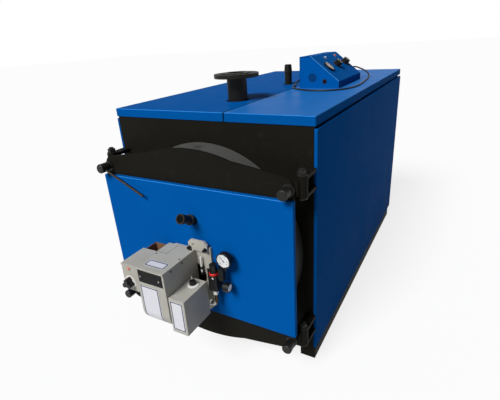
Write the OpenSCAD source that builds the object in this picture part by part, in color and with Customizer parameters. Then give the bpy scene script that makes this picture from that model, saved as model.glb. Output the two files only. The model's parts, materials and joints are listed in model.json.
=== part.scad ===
// Fire-tube hot water boiler: jacketed vessel, swing door with burner, control console on the lid.
// Millimetres, +Z up. The door faces -Y. The origin is on the floor under the middle of the whole.

/* [Jacket] */
// Width over the two side panels
jacket_w = 966; // [800:2:1200]
// Height from the floor to the top of the lid
jacket_h = 1080; // [900:5:1400]
// Length of the lid from front to back
jacket_len = 1683; // [1390:5:2200]
// Thickness of the folded sheet steel
sheet = 2; // [1.5:0.5:3]
// Depth of the side panels' folded edges
panel_fold = 12; // [8:1:16]
// Depth of the lid's skirt
lid_skirt = 35; // [25:1:50]
// Depth of the fold along the lid's seam
lid_seam_fold = 20; // [10:1:24]
// How far the lid's long edges stand inside the side panels' faces
lid_inset = 6; // [3:1:10]
// Place of the seam between the two lid pans, right of the centre line
lid_seam_x = 103; // [80:1:120]
// Open joint between the lid's skirt and the side panels
panel_gap = 10; // [5:1:20]
// How far the lid overhangs the rear plate
rear_overhang = 52; // [40:1:80]
// Room round each pipe where it passes the lid
lid_hole_room = 9; // [4:1:14]

/* [Base] */
// Width of a base channel
skid_w = 60; // [40:1:80]
// Height of a base channel
skid_h = 60; // [50:1:80]
// Wall of a base channel
skid_wall = 6; // [4:0.5:8]
// How far the base channels stand inside the side panels' faces
skid_inset = 5; // [2:1:8]
// Thickness of the front and rear plates
plate_t = 8; // [6:1:12]
// Width of a foot of the front and rear plates
foot_w = 68; // [60:1:80]
// Height of the open space between the feet
foot_gap_h = 45; // [30:1:50]

/* [Pressure vessel] */
// Room for insulation between the shell and the side panels' faces
side_room = 53; // [45:1:70]
// Room for insulation between the shell and the lid's top
head_room = 123; // [95:1:160]
// Clear height under the shell
vessel_foot = 97; // [75:1:130]
// Wall of the shell
shell_wall = 5; // [4:0.5:8]
// Number of rolled plates round the shell
shell_plates = 12; // [8:1:20]
// Open joint between two plates of the shell
shell_joint = 0.3; // [0.2:0.1:1]
// Width of the rim between the shell and the round mouth in the front plate
mouth_rim = 55; // [50:1:60]
// How far the tube plate lies behind the front plate
tube_plate_recess = 30; // [15:1:60]
// Thickness of the tube plate
tube_plate_t = 14; // [10:1:20]
// Outside radius of the furnace tube
furnace_r = 190; // [170:1:200]
// Wall of the furnace tube
furnace_wall = 6; // [5:0.5:10]
// Water space between the furnace tube's closed end and the rear plate
furnace_back = 202; // [120:2:260]
// How far the furnace axis lies below the vessel's axis
furnace_drop = 102; // [90:1:110]
// Number of smoke tubes
tube_count = 8; // [6:1:8]
// Outside radius of a smoke tube
tube_r = 44.5; // [40:0.5:45]
// Wall of a smoke tube
tube_wall = 4; // [3:0.5:5]
// Distance of the row of smoke tubes inside the shell's radius
tube_row_inset = 101; // [101:1:106]
// Half of the angle that the row of smoke tubes spans
tube_row_half = 110; // [90:1:112]
// How far the smoke tubes stand out of the tube plate
tube_proud = 5; // [3:1:10]

/* [Smoke box and flue] */
// Depth of the smoke box behind the rear plate
smoke_box_d = 140; // [100:5:200]
// How far the smoke box stands inside the shell's radius
smoke_box_inset = 30; // [20:1:45]
// Width of the smoke box's bolting flange
smoke_flange_w = 24; // [16:1:30]
// Thickness of the smoke box's bolting flange
smoke_flange_t = 8; // [5:1:12]
// Sheet of the smoke box
smoke_box_wall = 4; // [3:0.5:6]
// Outside radius of the flue spigot
flue_r = 125; // [100:1:150]
// Wall of the flue spigot
flue_wall = 3; // [2:0.5:5]
// Length of the flue spigot behind its collar
flue_len = 110; // [80:5:160]
// Width of the collar round the flue spigot
flue_collar = 25; // [15:1:40]
// Thickness of the collar
flue_collar_t = 6; // [4:1:10]
// Height of the flue above the vessel's axis
flue_rise = 90; // [40:1:120]

/* [Water connections] */
// Distance of the flow pipe from the lid's front
flow_y = 290; // [250:5:340]
// Distance of the return pipe from the rear plate
return_inset = 233; // [180:1:280]
// Outside radius of the flow and return pipes
pipe_r = 44.45; // [38:0.05:50]
// Wall of the flow and return pipes
pipe_wall = 3.2; // [2.5:0.1:5]
// How far the pipes reach through the shell's wall
set_in = 10; // [5:1:20]
// Height of the flange faces above the lid
pipe_rise = 120; // [90:1:160]
// Outside radius of a flange
flange_r = 100; // [95:1:110]
// Thickness of a flange with its raised face
flange_t = 20; // [16:1:26]
// Radius of a flange's raised face
raised_r = 69; // [60:1:70]
// Height of a flange's raised face
raised_h = 3; // [2:0.5:4]
// Number of bolt holes in a flange
flange_bolts = 8; // [4:1:12]
// Diameter of the flange's bolt circle
flange_pcd = 160; // [150:1:170]
// Radius of a flange's bolt hole
flange_hole_r = 9; // [7:0.5:11]
// Distance of the safety valve's socket from the lid's front
socket_y = 860; // [800:5:920]
// Outside radius of the socket's pipe
socket_pipe_r = 20; // [18:0.5:22]
// Outside radius of the socket
socket_r = 22.5; // [22:0.5:28]
// Radius of the bore through the socket and its pipe
socket_bore_r = 16; // [12:0.5:17]
// Length of the socket
socket_len = 38; // [25:1:50]
// Height of the socket's face above the lid
socket_rise = 107; // [80:1:130]

/* [Door] */
// Thickness of the rope gasket behind the door
gasket_t = 9; // [6:1:12]
// Distance of the gasket's middle inside the drum's radius
gasket_inset = 30; // [25:1:34]
// Width of the gasket
gasket_w = 20; // [14:1:26]
// Length of the door's drum
drum_len = 117; // [100:1:130]
// Wall of the door's drum
drum_wall = 6; // [4:1:10]
// How far the lining stands back inside the drum
lining_inset = 4; // [0:1:10]
// Thickness of the door's arched plate
door_t = 12; // [8:1:16]
// How far the arched plate's sides stand inside the side panels' faces
door_edge = 36; // [30:1:42]
// Radius of the plate's four ears
ear_r = 37; // [30:1:45]
// Height of the ears' tops over the bolts
ear_rise = 45; // [38:1:52]
// Part of an ear's quarter turn that the crown's straight flank leaves, in degrees
ear_turn = 85; // [70:1:88]
// Half width of the crown at the top of the plate
crown_half_w = 200; // [150:5:260]
// Depth of the crown's ends below the drum's top
crown_foot_drop = 24; // [15:1:35]
// Height of the crown's middle over the drum's top
crown_rise = 8; // [4:1:14]
// How far the sheet cover's sides stand inside the side panels' faces
cover_edge = 29; // [26:1:40]
// Distance of the sheet cover's edges from the bolts' level
cover_drop = 36; // [30:1:50]
// Depth of the door's sheet cover
cover_d = 19; // [12:1:26]

/* [Sight port] */
// Place of the sight port, right of the centre line
sight_x = 16; // [0:1:30]
// Height of the sight port over the door's centre
sight_dz = 149; // [140:1:170]
// Upward tilt of the sight tube in degrees
sight_tilt = 27; // [15:1:35]
// Length of the sight tube in front of the cover
sight_len = 84; // [60:1:110]
// Outside radius of the sight tube
sight_r = 17; // [14:0.5:20]
// Room round the sight tube where it passes the sheet cover
sight_room = 3; // [1:0.5:4]
// Length of the collar at the sight tube's root
sight_collar_len = 10; // [6:1:14]
// Radius of the sight tube's bore
sight_bore_r = 9; // [6:0.5:11]
// Radius of the ring at the front of the sight tube
sight_ring_r = 20.5; // [20:0.5:24]
// Length of the ring at the front of the sight tube
sight_ring_len = 14; // [8:1:20]
// Radius of the glass in the front ring
sight_glass_r = 15.5; // [12:0.5:17]
// Depth of the glass inside the front ring
sight_sunk = 4; // [2:0.5:6]
// Radius of the collar at the sight tube's root
sight_collar_r = 22; // [20.5:0.5:26]

/* [Hinges and bolts] */
// Distance of the hinge pins from the front plate's face
hinge_reach = 88; // [86:1:96]
// How far the hinge pins stand inside the side panels' faces
hinge_inset = 25; // [23:1:28]
// Radius of a hinge pin
hinge_pin_r = 10; // [8:0.5:12]
// Radius of the eyes round a hinge pin
hinge_eye_r = 22; // [18:0.5:23]
// Thickness of a hinge lug
lug_t = 14; // [10:1:18]
// Height of a hinge block
block_h = 54; // [44:1:60]
// Half width of a hinge block about its bolt
block_half_w = 22; // [18:1:26]
// Height of the hinge pin's hexagon nut
pin_nut_h = 16; // [10:1:20]
// Radius of the hinge pin's nut over its corners
pin_nut_r = 17; // [15:0.5:20]
// How far the hinge pin's end stands out of its nut
pin_end = 6; // [2:1:10]
// How far the bolts stand inside the side panels' faces
bolt_inset = 53; // [49:1:63]
// Depth of the upper bolts below the drum's top
bolt_drop = 102; // [98:1:112]
// Radius of a bolt's shank
bolt_r = 10; // [8:0.5:12]
// Radius of a bolt's round head
bolt_head_r = 20; // [17:0.5:22]
// Length of a bolt's round head
bolt_head_len = 40; // [30:1:46]
// Radius of the neck under the head
bolt_neck_r = 15; // [13:0.5:16]
// Length of the neck under the head
bolt_neck_len = 13; // [8:1:18]
// Chamfer of a bolt's head
bolt_chamfer = 3; // [1:0.5:5]
// Radius of the washer under a bolt
washer_r = 23; // [20:0.5:26]
// Thickness of the washer under a bolt
washer_t = 4; // [2:0.5:6]
// How deep a bolt's shank reaches into its hinge block
shank_depth = 24; // [14:1:26]
// Radius of the tommy bar
bar_r = 5; // [4:0.5:7]
// Length of the tommy bar from the bolt's axis
bar_len = 235; // [150:5:260]
// How far the tommy bar reaches out of the head's other side
bar_tail = 6; // [3:1:20]
// Angle of the tommy bar below the level in degrees
bar_angle = 26; // [0:1:60]

/* [Console] */
// Distance of the console from the lid's front
console_y = 693; // [650:1:740]
// Length of the console
console_len = 420; // [400:1:460]
// Distance of the console's back from the lid's seam
console_off = 34; // [27:1:50]
// Width of the console's foot
console_w = 208; // [190:1:230]
// Width of the console's flat top
console_top_w = 59; // [40:1:80]
// Height of the console
console_h = 153; // [140:1:170]
// Height of the console's front edge
console_toe = 33; // [20:1:45]
// Depth of the console's end cheeks inside its wrapped sheet
cheek_depth = 2; // [1:0.5:4]
// Radius of the plugged hole in the near cheek
plug_r = 22; // [18:0.5:26]
// Distance of the plugged hole from the console's back
plug_in = 69; // [62:1:76]
// Height of the plugged hole over the lid
plug_up = 50; // [44:1:60]
// Radius of the cable hole in the near cheek
cheek_hole_r = 9; // [6:0.5:11]
// Distance of the cable hole from the console's back
cheek_hole_in = 134; // [124:1:142]
// Height of the cable hole over the lid
cheek_hole_up = 32; // [26:1:40]
// Radius of the dial thermometer's rim
dial_r = 31; // [26:0.5:34]
// Height of the dial thermometer's rim
dial_h = 10; // [6:1:14]
// Width of the dial's rim
dial_rim = 4; // [2:0.5:6]
// Depth of the dial's face inside its rim
dial_sunk = 3; // [2:0.5:5]
// Distance of the dial from the console's near end
dial_at = 72; // [50:1:80]
// Radius of an indicator lamp
lamp_r = 7; // [5:0.5:9]
// Height of an indicator lamp
lamp_h = 9; // [5:1:14]
// Width and height of an indicator lamp's rim
lamp_rim = 3; // [2:0.5:4]
// Distance of the first lamp from the console's near end
first_lamp_at = 157; // [140:1:170]
// Distance of the second lamp from the console's near end
second_lamp_at = 322; // [310:1:330]
// Distance of the lamps from the slope's top edge
lamp_down = 29; // [18:1:36]
// Distance of the dial and knobs from the slope's top edge
knob_down = 92; // [85:1:100]
// Distance of the thermostat's knob from the console's near end
thermostat_at = 212; // [195:1:225]
// Distance of the limiter's knob from the console's near end
limiter_at = 357; // [340:1:365]
// Radius of a console knob's skirt
knob_r = 24; // [20:0.5:28]
// Height of a console knob
knob_h = 26; // [20:1:32]
// Height of a console knob's skirt
knob_skirt_h = 8; // [5:0.5:12]
// Step from a console knob's skirt in to its grip
knob_skirt_w = 5; // [2:0.5:7]
// Radius of a knob's spindle
spindle_r = 4; // [3:0.5:5]
// Height of a knob's spindle
spindle_h = 16; // [10:1:18]
// Number of flutes round a knob
knob_flutes = 12; // [6:1:20]
// Radius of a flute
flute_r = 1.6; // [1:0.1:2.5]
// Gap between a console knob and the slope
knob_gap = 0.5; // [0.3:0.1:1]

/* [Burner] */
// Half width of the burner's mounting plate
mount_half_w = 95; // [85:1:100]
// Height of the mounting plate's top over the burner's axis
mount_top = 143; // [135:1:150]
// Depth of the mounting plate's foot below the burner's axis
mount_foot = 178; // [160:1:185]
// Cut of the mounting plate's lower corners
mount_chamfer = 44; // [20:1:60]
// Thickness of the mounting plate
mount_t = 12; // [8:1:16]
// Radius of the boss behind the mounting plate
mount_boss_r = 84; // [78:1:90]
// Outside radius of the blast tube
blast_r = 60; // [50:1:66]
// Wall of the blast tube
blast_wall = 4; // [3:0.5:6]
// How far the blast tube reaches behind the front plate's face
blast_reach = 147; // [100:1:180]
// Right wall of the burner's housing, right of the centre line
housing_right = 20; // [10:1:24]
// Width of the burner's housing
housing_w = 140; // [130:1:160]
// Depth of the burner's housing
housing_d = 206; // [196:1:230]
// Height of the housing's top over the burner's axis
housing_top = 125; // [115:1:132]
// Depth of the housing's foot below the burner's axis
housing_foot = 150; // [145:1:160]
// Radius of the housing's lower front edge
housing_round = 75; // [40:1:85]
// Depth of the lip that the housing's top cover folds over its front
lip_h = 8; // [4:1:14]
// How far that lip stands out
lip_t = 2; // [1:0.5:4]
// Width of the sunk window in the housing's front
window_w = 122; // [100:1:128]
// Height of the sunk window
window_h = 56; // [40:1:64]
// Distance of the sunk window below the housing's top
window_drop = 10; // [8:1:16]
// Depth of the sunk window
window_sunk = 3; // [1:0.5:5]
// Width of the control box beside the housing
control_w = 75; // [65:1:85]
// Depth of the control box
control_d = 127; // [110:1:135]
// Height of the control box
control_h = 120; // [105:1:130]
// Radius of the control box's lower outer edge
control_round = 25; // [10:1:30]
// Distance of the control knob from the box's outer side
control_knob_in = 34; // [31:1:40]
// Height of the control knob over the box's foot
control_knob_up = 40; // [36:1:44]
// Radius of the control knob's lobes about their circle
control_lobe_r = 10; // [8:0.5:11]
// Radius of the circle of lobes
control_lobe_at = 12; // [9:0.5:13]
// Length of the control knob
control_knob_len = 26; // [20:1:32]
// Inset of the air intake box from the control box's outer side
intake_inset = 13; // [0:1:30]
// Depth of the air intake box below the housing's top
intake_h = 80; // [60:1:90]
// Clear space between the air intake box and the mounting plate
intake_back = 16; // [8:1:24]
// Wall of the air intake box
intake_wall = 3; // [2:0.5:4]
// Width of the side tank
tank_w = 76; // [66:1:77]
// Depth of the side tank
tank_d = 152; // [130:1:154]
// Height of the side tank
tank_h = 160; // [145:1:175]
// Height of the side tank's top over the burner's axis
tank_top = 17; // [5:1:24]
// Setback of the side tank behind the housing's front
tank_setback = 6; // [3:1:12]
// Distance of the tank's cap from its front
cap_at = 110; // [90:1:116]
// Radius of the tank's cap
cap_r = 14; // [10:0.5:18]
// Height of the tank's cap
cap_h = 20; // [14:1:26]
// Radius of the ring under the tank's cap
cap_ring_r = 24; // [20:0.5:30]
// Height of the ring under the tank's cap
cap_ring_h = 3; // [2:0.5:5]
// Left end of the top bracket, left of the centre line
bracket_left = 6; // [0:1:20]
// Width of the top bracket
bracket_w = 94; // [80:1:98]
// Height of the top bracket
bracket_h = 68; // [60:1:80]
// How far the top bracket rises over the mounting plate
bracket_rise = 30; // [20:1:40]
// Thickness of the top bracket
bracket_t = 12; // [8:1:16]
// Cut of the top bracket's corners
bracket_chamfer = 14; // [8:1:20]

/* [Air regulator] */
// Distance of the regulator's axis from the centre line
reg_x = 118; // [117:1:122]
// Width and depth of the regulator's body
reg_body = 40; // [34:1:41]
// Height of the regulator's body
reg_body_h = 72; // [66:1:80]
// Height of the body's foot over the burner's axis, negative for below
reg_foot = -27; // [-32:1:-22]
// Thickness of the regulator's back plate
reg_plate_t = 4; // [3:0.5:6]
// Length of the back plate's hold on the mounting plate
reg_plate_hold = 26; // [20:1:32]
// Radius of the bonnet's collar
reg_collar_r = 18.5; // [17.5:0.5:20]
// Height of the bonnet's collar
reg_collar_h = 8; // [5:1:10]
// Radius of the regulator's knob
reg_knob_r = 17; // [14:0.5:17.5]
// Height of the regulator's knob
reg_knob_h = 36; // [28:1:42]
// Height of the regulator knob's lower band
reg_band_h = 11; // [6:1:16]
// Step from the regulator knob's band in to its grip
reg_band_step = 1.4; // [0.6:0.2:2]
// Radius of the drain cup
reg_cup_r = 11; // [9:0.5:14]
// Height of the drain cup
reg_cup_h = 26; // [20:1:34]
// Radius of the fitting below the drain cup
reg_fitting_r = 7; // [5:0.5:9]
// Length of the fitting below the drain cup
reg_fitting_len = 42; // [30:1:50]
// Width of the gauge's tee block
tee_w = 24; // [18:1:26]
// Height of the gauge's tee block
tee_h = 52; // [40:1:56]
// Open space between the regulator's body and the tee block
tee_gap = 8; // [4:1:10]
// Distance of the gauge stems' holes from the body's edges
stem_edge = 3; // [2:0.5:5]
// Cut of the regulator body's upright edges
reg_chamfer = 5; // [2:0.5:8]
// Radius of the gauge stems
stem_r = 6; // [4:0.5:7]
// Width of a gauge's rim
gauge_rim = 4; // [2:0.5:5]
// Depth of a gauge's face inside its rim
gauge_sunk = 4; // [2:0.5:6]
// Radius of the large gauge
gauge_r = 33; // [28:0.5:36]
// Depth of the large gauge
gauge_d = 26; // [20:1:30]
// Length of the large gauge's stem
gauge_stem = 12; // [8:1:20]
// Radius of the small gauge
small_gauge_r = 20; // [16:0.5:21]
// Depth of the small gauge
small_gauge_d = 26; // [20:1:30]

/* [Cable] */
// Diameter of the console's cable
cable_d = 8; // [6:0.5:10]
// Number of sides of the cable
cable_sides = 10; // [8:1:12]
// Length of a cable gland
gland_len = 18; // [12:1:24]
// Radius of a cable gland
gland_r = 10; // [8:0.5:12]
// Height of a gland's hexagon
gland_hex_h = 7; // [4:0.5:10]
// Step from a gland's hexagon in to its dome
gland_step = 2; // [1:0.5:3]
// Distance of the far end's gland from the console's back
gland_in = 150; // [130:1:165]
// Room between the far end's gland and the console's folded rim
gland_room = 1.5; // [0.5:0.5:6]
// Distance of the back's gland from the console's near end
back_gland_at = 207; // [190:1:220]
// Height of the back's gland over the lid
back_gland_up = 32; // [26:1:40]

/* [Clearances] */
// Room for the lid's seam in each end plate's notch
notch_room = 3; // [1:0.5:6]
// Step from a hinge lug's eye in to its pin's washer
pin_head_step = 1; // [0:0.5:3]
// Gap between seated pieces
seat = 0.3; // [0.1:0.05:0.5]
// Radial clearance of a turning fit
run_fit = 0.06; // [0.02:0.01:0.1]
// Gap between the left hinge blocks and the door, which lets the door leave them
leave_gap = 5.5; // [5:0.5:8]

/* [Hidden] */
$fn = 96;

half_w = jacket_w / 2;
lid_half = half_w - lid_inset;
console_x = lid_seam_x + console_off;
// The shell is the largest that leaves its rooms inside the jacket
shell_r = min(half_w - side_room, (jacket_h - head_room - vessel_foot) / 2);
vessel_z = vessel_foot + shell_r;
mouth_r = shell_r - mouth_rim;
tube_row_r = shell_r - tube_row_inset;
smoke_box_r = shell_r - smoke_box_inset;
gasket_r = shell_r - gasket_inset;
plate_half = half_w - panel_fold - 2 * seat;
under_lid = jacket_h - sheet;
pipe_end_z = vessel_z + shell_r - shell_wall - set_in;

// Depths from the lid's front, back to front
front_face = sheet + 1;
front_back = front_face + plate_t;
rear_face = jacket_len - rear_overhang;
rear_front = rear_face - plate_t;
return_y = rear_front - return_inset;
tube_face = front_back + tube_plate_recess;
furnace_end = rear_front - furnace_back;
flue_end = rear_face + smoke_box_d + flue_collar_t + flue_len;
drum_back = front_face - seat - gasket_t;
door_back = drum_back - drum_len;
door_front = door_back - door_t;
cover_front = door_front - cover_d;
// Length of the sight tube behind the cover's face, past the plate's face where it is cut
sight_root = 3 * cover_d;
mount_front = cover_front - mount_t;
housing_front = mount_front - housing_d;
control_knob_front = housing_front - seat - control_knob_len;
middle_y = (control_knob_front + flue_end) / 2;

// Hinge pins and bolts
pin_x = half_w - hinge_inset;
pin_y = front_face - hinge_reach;
lug_far = block_h / 2 + seat + lug_t;
bolt_x = half_w - bolt_inset;
bolt_dz = shell_r - bolt_drop;
corners = [for (sx = [-1, 1], sz = [-1, 1]) [sx, sz]];

// Burner's axis and main faces
burner_z = vessel_z - furnace_drop;
housing_left = housing_right - housing_w;
control_left = housing_left - control_w;
housing_top_z = burner_z + housing_top;
control_foot_z = housing_top_z - control_h;
tank_top_z = burner_z + tank_top;
tank_front = housing_front + tank_setback;
reg_y = mount_front - reg_plate_t - reg_body / 2;
reg_foot_z = burner_z + reg_foot;
reg_top_z = reg_foot_z + reg_body_h;
tee_x = reg_x + reg_body / 2 + tee_gap + tee_w / 2;
tee_foot_z = reg_top_z - 2 * (stem_r + stem_edge);
gauge_z = tee_foot_z + tee_h + gauge_stem + gauge_r;

// Console's slope
console_foot_x = console_x + console_w;
console_end = console_y + console_len;
slope_x = console_x + console_top_w;
slope_top_z = jacket_h + console_h;
slope_angle = atan2(console_h - console_toe, console_w - console_top_w);

// Cable: ends of the two glands, and the points between them on the lid
cable_r = cable_d / 2;
cable_lie = jacket_h + cable_r + seat;
gland_far = [console_x + gland_in, console_end,
             slope_top_z - (gland_in - console_top_w) * tan(slope_angle)
             - (gland_r + sheet + gland_room) / cos(slope_angle)];
gland_back = [console_x, console_y + back_gland_at, jacket_h + back_gland_up];
cable_route = concat(
    [for (lead = [0, 14, 28]) gland_far + [0, gland_len + lead, 0]],
    [[293, 1187, jacket_h + 61], [310, 1204, jacket_h + 54], [335, 1211, jacket_h + 43],
     [359, 1204, jacket_h + 30], [376, 1186, jacket_h + 17]],
    [for (p = [[385, 1152], [391, 1105], [398, 1040], [407, 955], [415, 875], [419, 800], [416, 732],
               [403, 673], [380, 628], [342, 594], [291, 575], [240, 580], [190, 602], [146, 632],
               [112, 670], [93, 715], [79, 762], [66, 800]]) [p.x, p.y, cable_lie]],
    [[60, 834, jacket_h + 9], [60, 864, jacket_h + 18], [70, 889, jacket_h + 27]],
    [for (lead = [24, 12, 0]) gland_back - [gland_len + lead, 0, 0]]);

// Puts a piece in the part's own frame
module placed() {
    translate([0, -middle_y, 0]) children();
}

// Extrudes an outline in X and Z from depth y0 to depth y1
module slab_y(y0, y1) {
    translate([0, y1, 0]) rotate([90, 0, 0]) linear_extrude(height = y1 - y0) children();
}

// Extrudes an outline in Y and Z from x0 to x1
module slab_x(x0, x1) {
    translate([x0, 0, 0]) rotate([90, 0, 90]) linear_extrude(height = x1 - x0) children();
}

// Round bar along Y
module rod_y(r, y0, y1, x = 0, z = 0) {
    translate([x, y0, z]) rotate([-90, 0, 0]) cylinder(r = r, h = y1 - y0);
}

// Round bar along Z
module rod_z(r, z0, z1, x = 0, y = 0) {
    translate([x, y, z0]) cylinder(r = r, h = z1 - z0);
}

// Box between two corners
module block(low, high) {
    translate(low) cube(high - low);
}

// Places along the row of smoke tubes
module at_tubes() {
    for (i = [0 : tube_count - 1]) {
        turn = 90 + tube_row_half * (2 * i / (tube_count - 1) - 1);
        translate([tube_row_r * cos(turn), 0, vessel_z + tube_row_r * sin(turn)]) children();
    }
}

// Places on the console's slope, with Z along its normal
module on_slope(down, along) {
    translate([slope_x + down * cos(slope_angle), console_y + along, slope_top_z - down * sin(slope_angle)])
        rotate([0, slope_angle, 0]) children();
}

// Places on the sight tube's axis, with Z towards the eye
module on_sight() {
    translate([sight_x, cover_front, vessel_z + sight_dz]) rotate([90 - sight_tilt, 0, 0]) children();
}

// Two base channels, open to the inside
module skids() {
    color("#1C1C1A") placed() for (side = [-1, 1]) scale([side, 1, 1]) {
        outer = half_w - skid_inset;
        difference() {
            block([outer - skid_w, front_back, 0], [outer, rear_front, skid_h]);
            block([outer - skid_w - 1, front_back - 1, skid_wall],
                  [outer - skid_wall, rear_front + 1, skid_h - skid_wall]);
        }
    }
}

// End plate on two feet, up to the lid's underside, with a notch for the lid's seam
module end_plate(y0) {
    foot_out = half_w - skid_inset;
    notch_half = sheet + notch_room;
    slab_y(y0, y0 + plate_t) difference() {
        union() {
            translate([-plate_half, foot_gap_h]) square([2 * plate_half, under_lid - foot_gap_h]);
            for (side = [-1, 1])
                translate([side * (foot_out - foot_w / 2) - foot_w / 2, 0]) square([foot_w, skid_h]);
        }
        translate([lid_seam_x - notch_half, under_lid - lid_seam_fold - sheet])
            square([2 * notch_half, lid_seam_fold + 2 * sheet]);
    }
}

module front_plate() {
    color("#1C1C1A") placed() difference() {
        end_plate(front_face);
        rod_y(mouth_r, front_face - 1, front_back + 1, 0, vessel_z);
    }
}

module rear_plate() {
    color("#1C1C1A") placed() difference() {
        end_plate(rear_front);
        at_tubes() rod_y(tube_r - tube_wall, rear_front - 1, rear_face + 1);
    }
}

// Joints between the shell's plates: along the vessel, and across its crown between the connections
module shell_joints() {
    spread = 2 * shell_r * tan(180 / shell_plates);
    for (i = [0 : shell_plates - 1])
        translate([0, 0, vessel_z]) rotate([0, (i + 0.5) * 360 / shell_plates, 0])
            block([-shell_joint / 2, front_back - 1, 0], [shell_joint / 2, rear_front + 1, shell_r + 1]);
    for (y = [(flow_y + socket_y) / 2, (socket_y + return_y) / 2])
        translate([0, 0, vessel_z]) slab_y(y - shell_joint / 2, y + shell_joint / 2)
            polygon([[0, 0], [spread, 2 * shell_r], [-spread, 2 * shell_r]]);
}

// Vessel's shell between the end plates, rolled from plates and drilled for the water connections
module pressure_shell() {
    color("#34373A") placed() difference() {
        rod_y(shell_r, front_back, rear_front, 0, vessel_z);
        rod_y(shell_r - shell_wall, front_back - 1, rear_front + 1, 0, vessel_z);
        shell_joints();
        for (y = [flow_y, return_y]) rod_z(pipe_r + seat, vessel_z, jacket_h, 0, y);
        rod_z(socket_pipe_r + seat, vessel_z, jacket_h, 0, socket_y);
    }
}

module tube_plate() {
    tube_back = tube_face + tube_plate_t;
    color("#4A4540") placed() difference() {
        rod_y(shell_r - shell_wall - seat, tube_face, tube_back, 0, vessel_z);
        rod_y(furnace_r + seat, tube_face - 1, tube_back + 1, 0, burner_z);
        at_tubes() rod_y(tube_r + seat, tube_face - 1, tube_back + 1);
    }
}

// Furnace tube, closed at the back, where the flame turns round
module furnace_tube() {
    color("#4A4540") placed() difference() {
        rod_y(furnace_r, tube_face, furnace_end, 0, burner_z);
        rod_y(furnace_r - furnace_wall, tube_face - 1, furnace_end - furnace_wall, 0, burner_z);
    }
}

module smoke_tubes() {
    y0 = tube_face - tube_proud;
    color("#4A4540") placed() at_tubes() difference() {
        rod_y(tube_r, y0, rear_front);
        rod_y(tube_r - tube_wall, y0 - 1, rear_front + 1);
    }
}

// Round smoke box with a bolting flange, open to the rear plate
module smoke_box() {
    color("#1C1C1A") placed() difference() {
        union() {
            rod_y(smoke_box_r, rear_face, rear_face + smoke_box_d, 0, vessel_z);
            rod_y(smoke_box_r + smoke_flange_w, rear_face, rear_face + smoke_flange_t, 0, vessel_z);
        }
        rod_y(smoke_box_r - smoke_box_wall, rear_face - 1, rear_face + smoke_box_d - smoke_box_wall,
              0, vessel_z);
        rod_y(flue_r - flue_wall, rear_face, rear_face + smoke_box_d + 1, 0, vessel_z + flue_rise);
    }
}

// Flue spigot with the collar that seats on the smoke box
module flue_spigot() {
    y0 = rear_face + smoke_box_d;
    z = vessel_z + flue_rise;
    color("#1C1C1A") placed() difference() {
        union() {
            rod_y(flue_r + flue_collar, y0, y0 + flue_collar_t, 0, z);
            rod_y(flue_r, y0, flue_end, 0, z);
        }
        rod_y(flue_r - flue_wall, y0 - 1, flue_end + 1, 0, z);
    }
}

// Side panel: a shallow pan, open to the inside, standing on the base channel
module side_panel(side) {
    top = jacket_h - lid_skirt - panel_gap;
    back = jacket_len - panel_gap;
    scale([side, 1, 1]) difference() {
        block([half_w - panel_fold, front_face, skid_h], [half_w, back, top]);
        block([half_w - panel_fold - 1, front_face + sheet, skid_h + sheet],
              [half_w - sheet, back - sheet, top - sheet]);
    }
}

module left_side_panel() {
    color("#0B3F7A") placed() side_panel(-1);
}

module right_side_panel() {
    color("#0B3F7A") placed() side_panel(1);
}

// Lid pan from x0 to x1: top sheet, skirt on three sides and a shorter fold along the seam
module lid_pan(x0, x1, seam_side) {
    seam0 = seam_side > 0 ? x1 - sheet : x0;
    difference() {
        block([x0, 0, jacket_h - lid_skirt], [x1, jacket_len, jacket_h]);
        block([x0 + (seam_side > 0 ? sheet : -1), sheet, jacket_h - lid_skirt - 1],
              [x1 - (seam_side > 0 ? -1 : sheet), jacket_len - sheet, under_lid]);
        for (y = [flow_y, return_y]) rod_z(pipe_r + lid_hole_room, under_lid - 1, jacket_h + 1, 0, y);
        rod_z(socket_r + lid_hole_room, under_lid - 1, jacket_h + 1, 0, socket_y);
    }
    block([seam0, sheet, jacket_h - lid_seam_fold], [seam0 + sheet, jacket_len - sheet, under_lid]);
}

module left_lid() {
    color("#1A5FA8") placed() lid_pan(-lid_half, lid_seam_x - seat, 1);
}

module right_lid() {
    color("#1A5FA8") placed() lid_pan(lid_seam_x + seat, lid_half, -1);
}

// Flanged pipe set into the shell
module flanged_pipe(y) {
    face = jacket_h + pipe_rise;
    difference() {
        union() {
            rod_z(pipe_r, pipe_end_z, face, 0, y);
            rod_z(flange_r, face - flange_t, face - raised_h, 0, y);
            rod_z(raised_r, face - flange_t, face, 0, y);
        }
        rod_z(pipe_r - pipe_wall, pipe_end_z - 1, face + 1, 0, y);
        for (i = [0 : flange_bolts - 1]) {
            turn = 360 * (i + 0.5) / flange_bolts;
            rod_z(flange_hole_r, face - flange_t - 1, face + 1,
                  flange_pcd / 2 * cos(turn), y + flange_pcd / 2 * sin(turn));
        }
    }
}

module flow_pipe() {
    color("#2A2A29") placed() flanged_pipe(flow_y);
}

module return_pipe() {
    color("#2A2A29") placed() flanged_pipe(return_y);
}

module safety_socket() {
    face = jacket_h + socket_rise;
    color("#2A2A29") placed() difference() {
        union() {
            rod_z(socket_pipe_r, pipe_end_z, face, 0, socket_y);
            rod_z(socket_r, face - socket_len, face, 0, socket_y);
        }
        rod_z(socket_bore_r, pipe_end_z - 1, face + 1, 0, socket_y);
    }
}

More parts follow.
